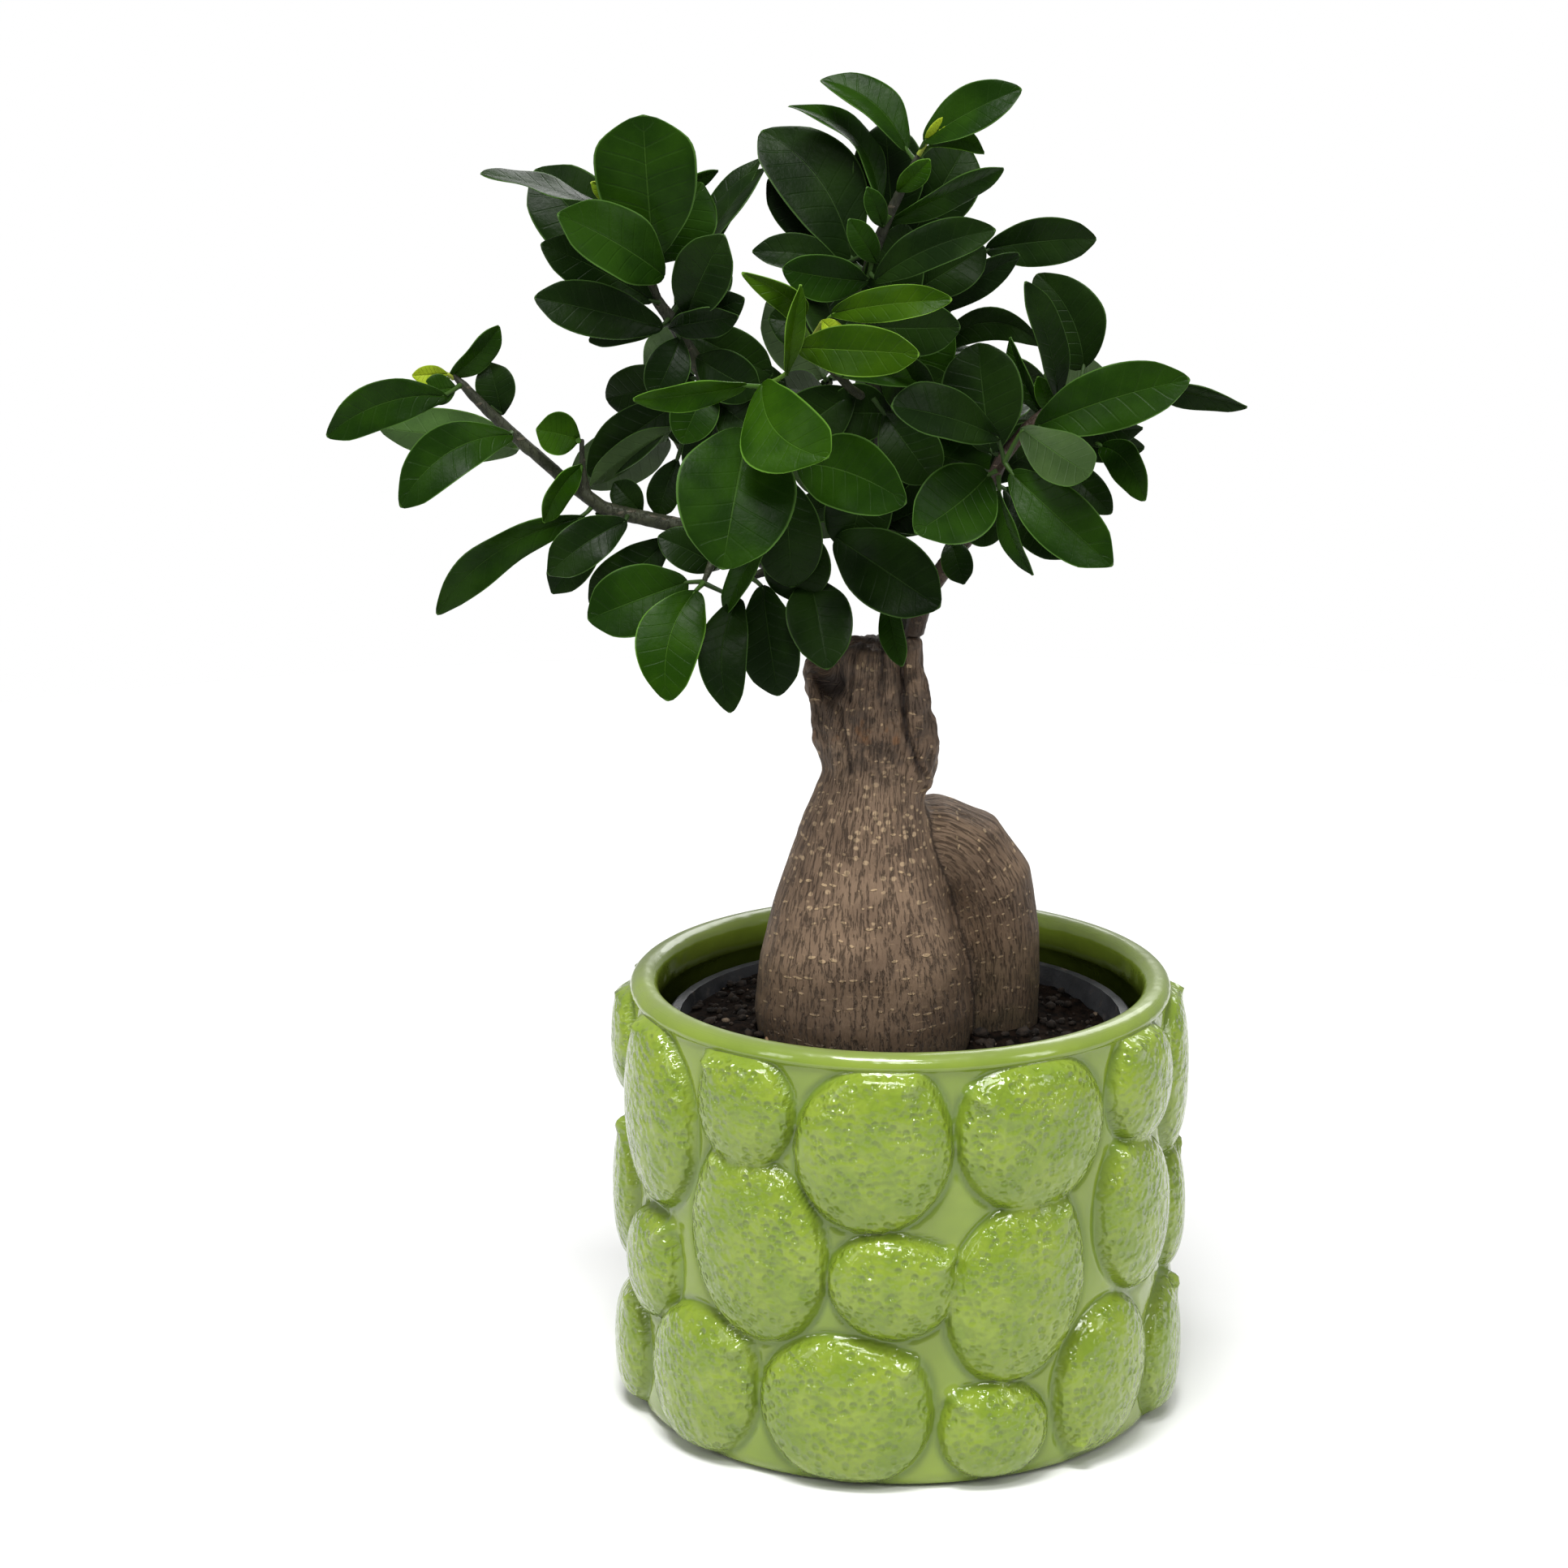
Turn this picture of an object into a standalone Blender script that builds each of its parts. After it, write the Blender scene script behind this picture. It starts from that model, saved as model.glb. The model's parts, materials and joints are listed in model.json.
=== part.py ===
"""A small grafted ficus tree in a glazed pot with limes in relief.

All sizes below are in millimetres. The origin is the middle of the pot's flat underside, +Z is up, and the
side seen from the front faces -Y. The cover pot holds a thin nursery pot of soil. The rootstock stands in the
soil, three grafted shoots stand on its stubs, and each leaf is its own solid with its stalk at a twig.
"""

import math

import bmesh
import bpy
import numpy as np
from mathutils import Matrix, Vector

MM = 0.001

# Cover pot
POT_RADIUS = 70.0  # outside of the rim
POT_HEIGHT = 115.0
RIM_WIDTH = 7.3
LIP_DEPTH = 9.0  # height of the lip's inner face
WALL = 4.6
POT_FLOOR = 5.0
WAIST_INSET = 1.3  # how far the bare wall lies inside the rim's radius
EDGE_ROUND = 4.5  # rounding of the bottom edge
RELIEF_RISE = 6.0  # how far a lime stands out of the wall

# Nursery pot
NURSERY_PLAY = 2.4  # clearance between its rim and the cover pot's mouth
NURSERY_RIM_DROP = 11.5  # its rim lies this far below the cover pot's rim
NURSERY_RIM_BAND = 6.0
NURSERY_WALL = 1.1
NURSERY_TAPER = 13.3  # its foot's radius is this much less than its rim's
DRAIN_RADIUS = 4.0
DRAIN_RING_RADIUS = 28.0
DRAIN_COUNT = 6

# Soil
SOIL_DROP = 4.5  # the soil's mean level below the nursery pot's rim
SOIL_RELIEF = 1.0  # multiplies the heaps and hollows of its surface

# Plant
TREE_SIZE = 1.0  # multiplies every length of the plant
TWIG_THICKNESS = 1.0  # multiplies the radius of every twig
LEAF_THICKNESS = 0.7  # at the midrib
STALK_WIDTH = 1.3

FIT_GAP = 0.35  # clearance between pieces that rest on or stand in one another
SOCKET_GAP = 0.6  # clearance around the roots in the soil

# Positions of the plant are written for soil whose mean level is at this height, and follow the real level.
DRAWN_SOIL_LEVEL = 99.0
# Twigs and leaves are drawn on the upright plane through the pot's axis as seen from this point, and are then
# moved along the line of sight to their own depth.
VIEWPOINT = Vector((0.0, -1246.6, 510.0))

mouth_radius = POT_RADIUS - RIM_WIDTH
nursery_rim_radius = mouth_radius - NURSERY_PLAY
nursery_foot_radius = nursery_rim_radius - NURSERY_TAPER
nursery_floor = POT_FLOOR + FIT_GAP
nursery_rim = POT_HEIGHT - NURSERY_RIM_DROP
soil_level = nursery_rim - SOIL_DROP


def clear_scene():
    for scene_object in list(bpy.data.objects):
        bpy.data.objects.remove(scene_object, do_unlink=True)


def material(name, colour, roughness, metallic=0.0):
    made = bpy.data.materials.new(name)
    made.use_nodes = True
    shader = made.node_tree.nodes["Principled BSDF"]
    shader.inputs["Base Color"].default_value = (*colour, 1.0)
    shader.inputs["Roughness"].default_value = roughness
    shader.inputs["Metallic"].default_value = metallic
    return made


def add_object(name, points, faces, made_of=None, smooth=True):
    """A mesh object from points in millimetres."""
    mesh = bpy.data.meshes.new(name)
    mesh.from_pydata([tuple(MM * value for value in point) for point in points], [], faces)
    mesh.validate()
    if smooth:
        mesh.shade_smooth()
        mesh.set_sharp_from_angle(angle=math.radians(40))
    if made_of:
        mesh.materials.append(made_of)
    made = bpy.data.objects.new(name, mesh)
    bpy.context.scene.collection.objects.link(made)
    return made


def as_guide(helper):
    helper.hide_render = True
    helper.display_type = "WIRE"
    return helper


def ring_faces(ring_count, side_count, closed_ends=True):
    """Faces between rings of points that follow each other, with a fan-free cap on each end."""
    faces = []
    for ring in range(ring_count - 1):
        for side in range(side_count):
            after = (side + 1) % side_count
            low, high = ring * side_count, (ring + 1) * side_count
            faces.append((low + side, low + after, high + after, high + side))
    if closed_ends:
        faces.append(tuple(range(side_count))[::-1])
        faces.append(tuple((ring_count - 1) * side_count + side for side in range(side_count)))
    return faces


def turned(name, profile, side_count, made_of, radius_change=None):
    """A solid turned about Z from (radius, height) points that start and end on the axis.

    radius_change(turn, height, index) may push a point outwards.
    """
    points = [(0.0, 0.0, profile[0][1])]
    inner = profile[1:-1]
    for index, (radius, height) in enumerate(inner):
        for side in range(side_count):
            turn = 2.0 * math.pi * side / side_count
            reach = radius + (radius_change(turn, height, index) if radius_change else 0.0)
            points.append((reach * math.sin(turn), -reach * math.cos(turn), height))
    points.append((0.0, 0.0, profile[-1][1]))
    faces = [tuple(corner + 1 for corner in face) for face in ring_faces(len(inner), side_count, False)]
    last = len(points) - 1
    for side in range(side_count):
        after = (side + 1) % side_count
        faces.append((0, 1 + after, 1 + side))
        start = 1 + (len(inner) - 1) * side_count
        faces.append((start + side, start + after, last))
    return add_object(name, points, faces, made_of)


# ---------------------------------------------------------------------------------------------- cover pot

# One lime a row: turn from the front in degrees, height of its middle, half width, half height, lean in
# degrees (anticlockwise as seen), and where its nipple points, in degrees from straight up (clockwise).
LIMES = [
    (-92, 99, 16, 17, 0, 10),
    (-63, 87, 19, 24, 8, -15),
    (-34, 99, 14.5, 16.5, -20, -40),
    (-5.5, 90.5, 20.5, 22, -12, 28),
    (29.5, 93, 21.5, 20.5, 20, -55),
    (62, 98.5, 16, 16, 10, -35),
    (90, 91, 18, 22.5, 0, 20),
    (-90, 56, 16, 20, 0, 15),
    (-65, 46, 14, 15, 0, 40),
    (-31.5, 61, 20.5, 24.5, 12, -25),
    (-1.5, 54.5, 16.5, 14, -15, 62),
    (26, 51, 19.5, 24, -15, 30),
    (61, 62.5, 18, 21, 14, -30),
    (90, 52, 14, 17, 0, 10),
    (-82, 17, 16, 17, 0, 30),
    (-47, 21, 20, 20, 15, 50),
    (-11.5, 20.5, 23, 20, -14, 52),
    (21, 14.5, 15, 13, 5, -48),
    (49.5, 23, 17.5, 20, -22, -145),
    (79, 17, 17, 18, 0, 20),
    (122, 97, 20, 17, -18, 40),
    (156, 88, 20, 23, 10, -20),
    (191, 97, 18, 17, 15, 50),
    (224, 88, 19, 22, -10, -30),
    (248, 98, 13, 15, 8, 15),
    (114, 62, 18, 18, 12, -40),
    (138, 47, 15, 18, -15, 20),
    (172, 48, 19, 17, 8, 60),
    (204, 54, 18, 21, -12, -20),
    (238, 55, 17, 15, 20, 35),
    (108, 22, 17, 19, -8, 15),
    (140, 17, 18, 14.5, 12, -55),
    (174, 17, 17, 14, -5, 45),
    (206, 21, 16, 18, 14, -15),
    (240, 22, 19, 19, -16, 30),
]


def lime_rise(turn, height):
    """How far the relief stands out of the wall, in millimetres, at a turn in radians and a height."""
    rise = 0.0
    for turned_by, middle, half_width, half_height, lean, _nipple in LIMES:
        around = math.remainder(turn - math.radians(turned_by), 2.0 * math.pi) * POT_RADIUS
        above = height - middle * POT_HEIGHT / 115.0
        lean = math.radians(lean)
        across = (around * math.cos(lean) + above * math.sin(lean)) / half_width
        along = (-around * math.sin(lean) + above * math.cos(lean)) / half_height
        inside = 1.0 - across * across - along * along
        if inside > 0.0:
            rise = max(rise, RELIEF_RISE * inside**0.55)
    return rise


def build_ceramic_pot(glaze):
    wall_radius = POT_RADIUS - WAIST_INSET
    inner_radius = wall_radius - WALL
    rim_half = 0.5 * (POT_RADIUS - mouth_radius)
    rim_middle = mouth_radius + rim_half
    relief_low, relief_high = EDGE_ROUND, POT_HEIGHT - 5.0
    profile = [(0.0, 0.0), (wall_radius - EDGE_ROUND, 0.0), (wall_radius - 0.3 * EDGE_ROUND, 0.3 * EDGE_ROUND)]
    levels = 15
    for level in range(levels):
        share = level / (levels - 1)
        profile.append((wall_radius + 0.5 * share, relief_low + share * (relief_high - relief_low)))
    for angle in (10, 50, 90, 130, 170):
        angle = math.radians(angle)
        profile.append((rim_middle + rim_half * math.cos(angle), POT_HEIGHT - 3.6 + 3.6 * math.sin(angle)))
    profile += [
        (mouth_radius, POT_HEIGHT - LIP_DEPTH),
        (inner_radius, POT_HEIGHT - LIP_DEPTH - 2.5),
        (inner_radius, POT_FLOOR + 7.0),
        (inner_radius - 2.0, POT_FLOOR + 2.0),
        (inner_radius - 7.0, POT_FLOOR),
        (0.0, POT_FLOOR),
    ]

    def relief(turn, height, index):
        if not 1 <= index < 2 + levels:
            return 0.0
        fade = min(1.0, max(0.0, (POT_HEIGHT - 3.0 - height) / 4.0)) * min(1.0, (height + 2.0) / 6.0)
        return fade * lime_rise(turn, height)

    return turned("ceramic_pot", profile, 72, glaze, relief)


# -------------------------------------------------------------------------------------------- nursery pot

def nursery_inner_radius(height):
    """Inner radius of the nursery pot's sloping wall."""
    low = nursery_floor + NURSERY_WALL
    share = (height - low) / (nursery_rim - low)
    return nursery_foot_radius + share * (nursery_rim_radius - 2.2 - nursery_foot_radius) - NURSERY_WALL


def build_nursery_pot(plastic):
    band = nursery_rim - NURSERY_RIM_BAND
    slope = nursery_rim_radius - 2.2
    profile = [
        (0.0, nursery_floor),
        (nursery_foot_radius - 1.5, nursery_floor),
        (nursery_foot_radius, nursery_floor + 1.5),
        (nursery_inner_radius(band) + NURSERY_WALL, band),
        (nursery_rim_radius - 0.4, band + 0.3),
        (nursery_rim_radius, nursery_rim - 0.6),
        (nursery_rim_radius - 0.7, nursery_rim),
        (slope - NURSERY_WALL + 0.3, nursery_rim),
        (nursery_inner_radius(band), band),
        (nursery_inner_radius(nursery_floor + 2.6), nursery_floor + 2.6),
        (nursery_foot_radius - NURSERY_WALL - 1.5, nursery_floor + NURSERY_WALL),
        (0.0, nursery_floor + NURSERY_WALL),
    ]
    pot = turned("nursery_pot", profile, 48, plastic)
    for number in range(DRAIN_COUNT):
        turn = 2.0 * math.pi * (number + 0.37) / DRAIN_COUNT
        bpy.ops.mesh.primitive_cylinder_add(
            vertices=10,
            radius=DRAIN_RADIUS * MM,
            depth=6.0 * MM,
            location=(
                DRAIN_RING_RADIUS * math.sin(turn) * MM,
                DRAIN_RING_RADIUS * math.cos(turn) * MM,
                (nursery_floor + 0.5 * NURSERY_WALL) * MM,
            ),
        )
        hole = as_guide(bpy.context.object)
        hole.name = f"drain_hole_{number + 1}"
        cut = pot.modifiers.new(hole.name, "BOOLEAN")
        cut.operation = "DIFFERENCE"
        cut.object = hole
    return pot


# ------------------------------------------------------------------------------------------------ plant


def grown(point):
    """A drawn point of the plant at its real size and above the real soil."""
    return Vector(
        (
            point[0] * TREE_SIZE,
            point[1] * TREE_SIZE,
            soil_level + (point[2] - DRAWN_SOIL_LEVEL) * TREE_SIZE,
        )
    )


def sighted(x, z, depth):
    """The real place of a point drawn at (x, z) that lies depth behind the middle plane."""
    drawn = Vector((x, 0.0, z))
    share = (depth - VIEWPOINT.y) / -VIEWPOINT.y
    return grown(VIEWPOINT + share * (drawn - VIEWPOINT))


def tube_points(centres, widths, depths, side_count, level=False):
    """Rings of points about a path. Level rings lie flat, and others lie square to the path."""
    points = []
    for index, centre in enumerate(centres):
        ahead = centres[min(index + 1, len(centres) - 1)] - centres[max(index - 1, 0)]
        ahead = Vector((0.0, 0.0, 1.0)) if level else ahead.normalized()
        first = Vector((0.0, 1.0, 0.0)).cross(ahead)
        if first.length < 0.3:
            first = Vector((0.0, 0.0, 1.0)).cross(ahead)
        first.normalize()
        second = ahead.cross(first)
        for side in range(side_count):
            angle = 2.0 * math.pi * side / side_count
            reach = widths[index] * math.cos(angle) * first + depths[index] * math.sin(angle) * second
            points.append(centre + reach)
    return points


# Levels of the front root and the trunk above it: height, middle x, middle y, half width, half depth.
FRONT_ROOT = [
    (80, -9, -8, 14, 12),
    (86, -9, -8, 22, 18),
    (96, -9, -8, 27, 22.5),
    (108, -9.7, -8, 28, 23.2),
    (122, -10, -8, 26.2, 21.5),
    (137, -10.4, -7, 22.2, 19),
    (150, -10.1, -6, 18.1, 16),
    (160, -9.3, -5, 15.3, 14),
    (171, -7.2, -3, 12.8, 12),
    (179, -7.6, -2, 13.2, 12.2),
    (189, -8, -1, 12.4, 11.6),
    (197, -7.4, -1, 11.1, 10.4),
    (203.4, -6.6, -1.4, 8.9, 8.6),
]
# The second root's arc: x, y, height, radius.
SECOND_ROOT = [
    (-4, 3, 147, 10.6),
    (8, 6, 148.7, 12.9),
    (15, 9, 144.6, 13.6),
    (20.4, 10.5, 136.6, 13.9),
    (22.4, 11, 124, 13.8),
    (22.6, 11, 110, 14),
    (22.6, 11, 98, 13.6),
    (22, 11, 88, 11.6),
    (21, 11, 81, 7),
]
# Stubs that the grafted shoots stand on, and a torn lip on the left: x, y, height, radius.
RIGHT_STUB = [(0, -4, 165, 6), (3, -6, 172, 6.6), (3.4, -7, 179, 6.2), (3, -7, 189, 4.2), (2.8, -7, 198, 3.1), (2.8, -7, 206, 2.9)]
LEFT_STUB = [(-16, 3, 181, 6), (-20.6, 4, 190, 4.6), (-22.3, 4.5, 195, 3.8), (-22.4, 4.5, 198.5, 3.4)]
REAR_STUB = [(-1, 8, 180, 6), (1.2, 10.5, 194, 4.4), (1.4, 11, 204, 3.4)]
TORN_LIP = [(-17.5, -2, 176, 5.5), (-19.5, -3, 186, 4.2), (-23.6, -3.5, 197, 2.2)]


def solid_along(name, rows, side_count):
    """A closed tube along rows of (x, y, height, radius), as a guide."""
    centres = [grown(row[:3]) for row in rows]
    radii = [row[3] * TREE_SIZE for row in rows]
    points = tube_points(centres, radii, radii, side_count)
    return as_guide(add_object(name, points, ring_faces(len(rows), side_count)))


def front_root(name, rows, side_count):
    centres = [grown((x, y, height)) for height, x, y, _w, _d in rows]
    widths = [row[3] * TREE_SIZE for row in rows]
    depths = [row[4] * TREE_SIZE for row in rows]
    points = tube_points(centres, widths, depths, side_count, level=True)
    return as_guide(add_object(name, points, ring_faces(len(rows), side_count)))


def joined_by(host, helpers, name):
    """Gives host one exact union with helpers, which are put in a collection of their own."""
    group = bpy.data.collections.new(name)
    bpy.context.scene.collection.children.link(group)
    group.hide_render = True
    for helper in helpers:
        bpy.context.scene.collection.objects.unlink(helper)
        group.objects.link(helper)
    union = host.modifiers.new(name, "BOOLEAN")
    union.operation = "UNION"
    union.operand_type = "COLLECTION"
    union.collection = group
    return union


def tidy_faces(cut_object):
    """Splits the many-sided faces that a Boolean leaves into well-shaped triangles."""
    split = cut_object.modifiers.new("triangles", "TRIANGULATE")
    split.quad_method = "BEAUTY"
    split.ngon_method = "BEAUTY"
    short = cut_object.modifiers.new("no_slivers", "WELD")
    short.merge_threshold = 0.05 * MM


def build_rootstock(name, bark=None, swell=0.0):
    """The roots, trunk and stubs under one skin. With a swell it is the cutter of their socket."""
    body = front_root(name, FRONT_ROOT, 24)
    helpers = [
        solid_along(f"{name}_second_root", SECOND_ROOT, 20),
        solid_along(f"{name}_right_stub", RIGHT_STUB, 12),
        solid_along(f"{name}_left_stub", LEFT_STUB, 12),
        solid_along(f"{name}_rear_stub", REAR_STUB, 12),
        solid_along(f"{name}_torn_lip", TORN_LIP, 10),
    ]
    joined_by(body, helpers, f"{name}_limbs")
    skin = body.modifiers.new("one_skin", "REMESH")
    skin.mode = "VOXEL"
    skin.voxel_size = 1.5 * TREE_SIZE * MM
    soften = body.modifiers.new("soften", "SMOOTH")
    soften.factor = 0.5
    soften.iterations = 5
    fewer = body.modifiers.new("fewer_faces", "DECIMATE")
    fewer.ratio = 0.085
    if swell:
        wider = body.modifiers.new("wider", "DISPLACE")
        wider.mid_level = 0.0
        wider.strength = swell * MM
        return body
    body.hide_render = False
    body.display_type = "TEXTURED"
    body.data.materials.append(bark)
    return body


# Heaps and hollows of the soil: x, y, radius, height.
HEAPS = [
    (-46, -8, 26, 4.5),
    (-30, 34, 24, 3.0),
    (12, 44, 22, 2.0),
    (48, 10, 20, -2.5),
    (34, -26, 20, -2.5),
    (-12, -40, 26, -1.5),
    (22, 10, 20, 2.5),
    (-34, -34, 16, 1.5),
]


def soil_height(x, y):
    rise = 0.0
    for heap_x, heap_y, radius, height in HEAPS:
        near = math.hypot(x - heap_x, y - heap_y) / radius
        rise += height * math.exp(-1.6 * near * near)
    return soil_level + SOIL_RELIEF * rise


def build_soil(earth):
    side_count, ring_radii = 44, [10.0, 20.0, 30.0, 39.0, 47.0, 53.0]
    bottom = nursery_floor + NURSERY_WALL + FIT_GAP
    foot = nursery_inner_radius(bottom + 2.0) - 2.0 - FIT_GAP
    side_top = soil_level - 6.0
    wall = nursery_inner_radius(side_top) - FIT_GAP - 0.2
    edge = nursery_inner_radius(soil_level - 2.0) - FIT_GAP - 0.2
    rings = [(foot, bottom), (wall, side_top), (edge, None)]
    rings += [(edge * radius / 57.0, None) for radius in reversed(ring_radii)]
    points = [(0.0, 0.0, bottom)]
    for radius, height in rings:
        for side in range(side_count):
            turn = 2.0 * math.pi * side / side_count
            x, y = radius * math.sin(turn), -radius * math.cos(turn)
            points.append((x, y, soil_height(x, y) if height is None else height))
    points.append((0.0, 0.0, soil_height(0.0, 0.0)))
    faces = [tuple(corner + 1 for corner in face) for face in ring_faces(len(rings), side_count, False)]
    last, start = len(points) - 1, 1 + (len(rings) - 1) * side_count
    for side in range(side_count):
        after = (side + 1) % side_count
        faces.append((0, 1 + after, 1 + side))
        faces.append((start + side, start + after, last))
    soil = add_object("soil", points, faces, earth)
    socket = soil.modifiers.new("root_socket", "BOOLEAN")
    socket.operation = "DIFFERENCE"
    socket.object = build_rootstock("root_socket", swell=SOCKET_GAP)
    tidy_faces(soil)
    return soil


SCION_STUBS = {"scion_left": LEFT_STUB, "scion_right": RIGHT_STUB, "scion_rear": REAR_STUB}
# Twigs as drawn from the front: x, height, depth, radius. The first of each list is the stem, whose foot stands
# on its stub, and the others leave it where their first row lies inside it.
TWIGS = {
    "scion_left": [
        [
            (-23, 209, 2, 3.1), (-30, 221, -3, 2.8), (-42, 229, -8, 2.5),
            (-57, 233, -11, 2.1), (-68, 235.2, -12, 2.0), (-76, 237.2, -12, 1.9), (-86, 245, -12, 1.7),
            (-96, 254, -12, 1.6), (-105, 262.5, -12, 1.5), (-111, 269, -12, 1.2), (-113.5, 271.5, -12, 0.7),
        ],
        [(-44, 229.6, -8.5, 1.4), (-48.5, 223, -17, 1.2), (-50.5, 218, -22, 0.8)],
        [(-31, 221.8, -3.3, 1.5), (-35, 221, -10, 1.3), (-38.5, 219.5, -14, 0.8)],
        [
            (-28, 219.5, -2, 2.6), (-33, 234, -5, 2.3), (-40, 251, -7, 2.1), (-46.5, 264, -8, 2.0),
            (-52, 274.5, -9, 1.9), (-58, 285, -10, 1.7), (-62, 290.5, -10, 1.6), (-64, 296.5, -11, 1.4),
            (-68, 306, -12, 1.2), (-71, 313, -13, 0.7),
        ],
        [(-43, 229.5, -8, 1.8), (-48, 239, 8, 1.6), (-54, 250, 24, 1.4), (-60, 260, 38, 1.1), (-64, 268, 48, 0.7)],
        [(-79.6, 240, -12, 1.0), (-81, 248, -12.5, 0.9), (-81, 255, -13, 0.6)],
    ],
    "scion_right": [
        [
            (5.5, 215, -7, 2.5), (11, 223, -8, 2.4), (17, 232, -11, 2.2),
            (21.5, 243, -16, 2.0), (25, 251, -18, 1.8), (31, 258.5, -16, 1.6), (37.5, 264, -12, 1.4),
            (42.5, 269, -8, 1.1), (44.5, 271.5, -6, 0.6),
        ],
        [(21.3, 242.5, -15.7, 1.4), (23.5, 247, -23, 1.2), (25.5, 249.5, -28, 0.7)],
        [(31, 258.5, -16, 1.2), (38, 257, -15, 1.1), (45.5, 254.5, -12, 0.9), (49, 256.5, -10, 0.6)],
    ],
    "scion_rear": [
        [
            (-1, 216, 9.5, 2.9), (-5, 233, 7, 2.7), (-4.5, 250, 4, 2.4),
            (-6.5, 264, 1, 2.2), (-9.5, 278, -3, 2.0), (-11.5, 290, -5, 1.8), (-8, 302, -6, 1.6),
            (-4, 312, -7, 1.4), (0, 320.5, -8, 1.2), (3.5, 327.5, -9, 0.7),
        ],
        [(-6.3, 263, 1, 1.5), (-13, 268, -12, 1.3), (-20, 275, -22, 1.1), (-23.5, 280.5, -26, 0.7)],
        [
            (-4.7, 245, 5, 1.8), (-14, 248, -8, 1.5), (-25, 255, -21, 1.4), (-32.5, 263.5, -31, 1.2),
            (-35.5, 268.5, -35, 0.7),
        ],
        [(-4.8, 254, 3.5, 1.7), (1.5, 265, 8, 1.5), (6, 277, 11, 1.3), (11, 289, 14, 1.1), (16.5, 299, 16, 0.7)],
        [(-4.6, 240, 6, 1.9), (-10, 251, 22, 1.6), (-15, 261, 38, 1.3), (-19, 270, 50, 0.7)],
        [(-4.5, 248, 4.3, 1.7), (9, 253, 19, 1.5), (22, 259, 32, 1.2), (32, 267, 42, 0.7)],
        [(-4.9, 228, 7.5, 1.6), (-9, 229, -2, 1.3), (-13, 229.5, -10, 0.7)],
    ],
}


def twig_path(name, number):
    """Centres and radii of a scion's stem (number 0) or of one of its side twigs."""
    rows = TWIGS[name][number]
    centres = [sighted(x, height, depth) for x, height, depth, _radius in rows]
    radii = [row[3] * TREE_SIZE * TWIG_THICKNESS for row in rows]
    if number == 0:
        x, y, height, radius = SCION_STUBS[name][-1]
        centres.insert(0, grown((x, y, height)) + Vector((0.0, 0.0, FIT_GAP)))
        radii.insert(0, 0.95 * radius * TREE_SIZE)
    return centres, radii


def build_scion(name, bark):
    def tube(number, side_count):
        centres, radii = twig_path(name, number)
        points = tube_points(centres, radii, radii, side_count)
        if number == 0:
            for point in points[:side_count]:
                point.z = centres[0].z
        object_name = f"{name}_twig_{number}" if number else name
        return add_object(object_name, points, ring_faces(len(centres), side_count))

    made = tube(0, 8)
    made.data.materials.append(bark)
    helpers = [as_guide(tube(number, 7)) for number in range(1, len(TWIGS[name]))]
    joined_by(made, helpers, f"{name}_twigs")
    tidy_faces(made)
    return made


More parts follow.
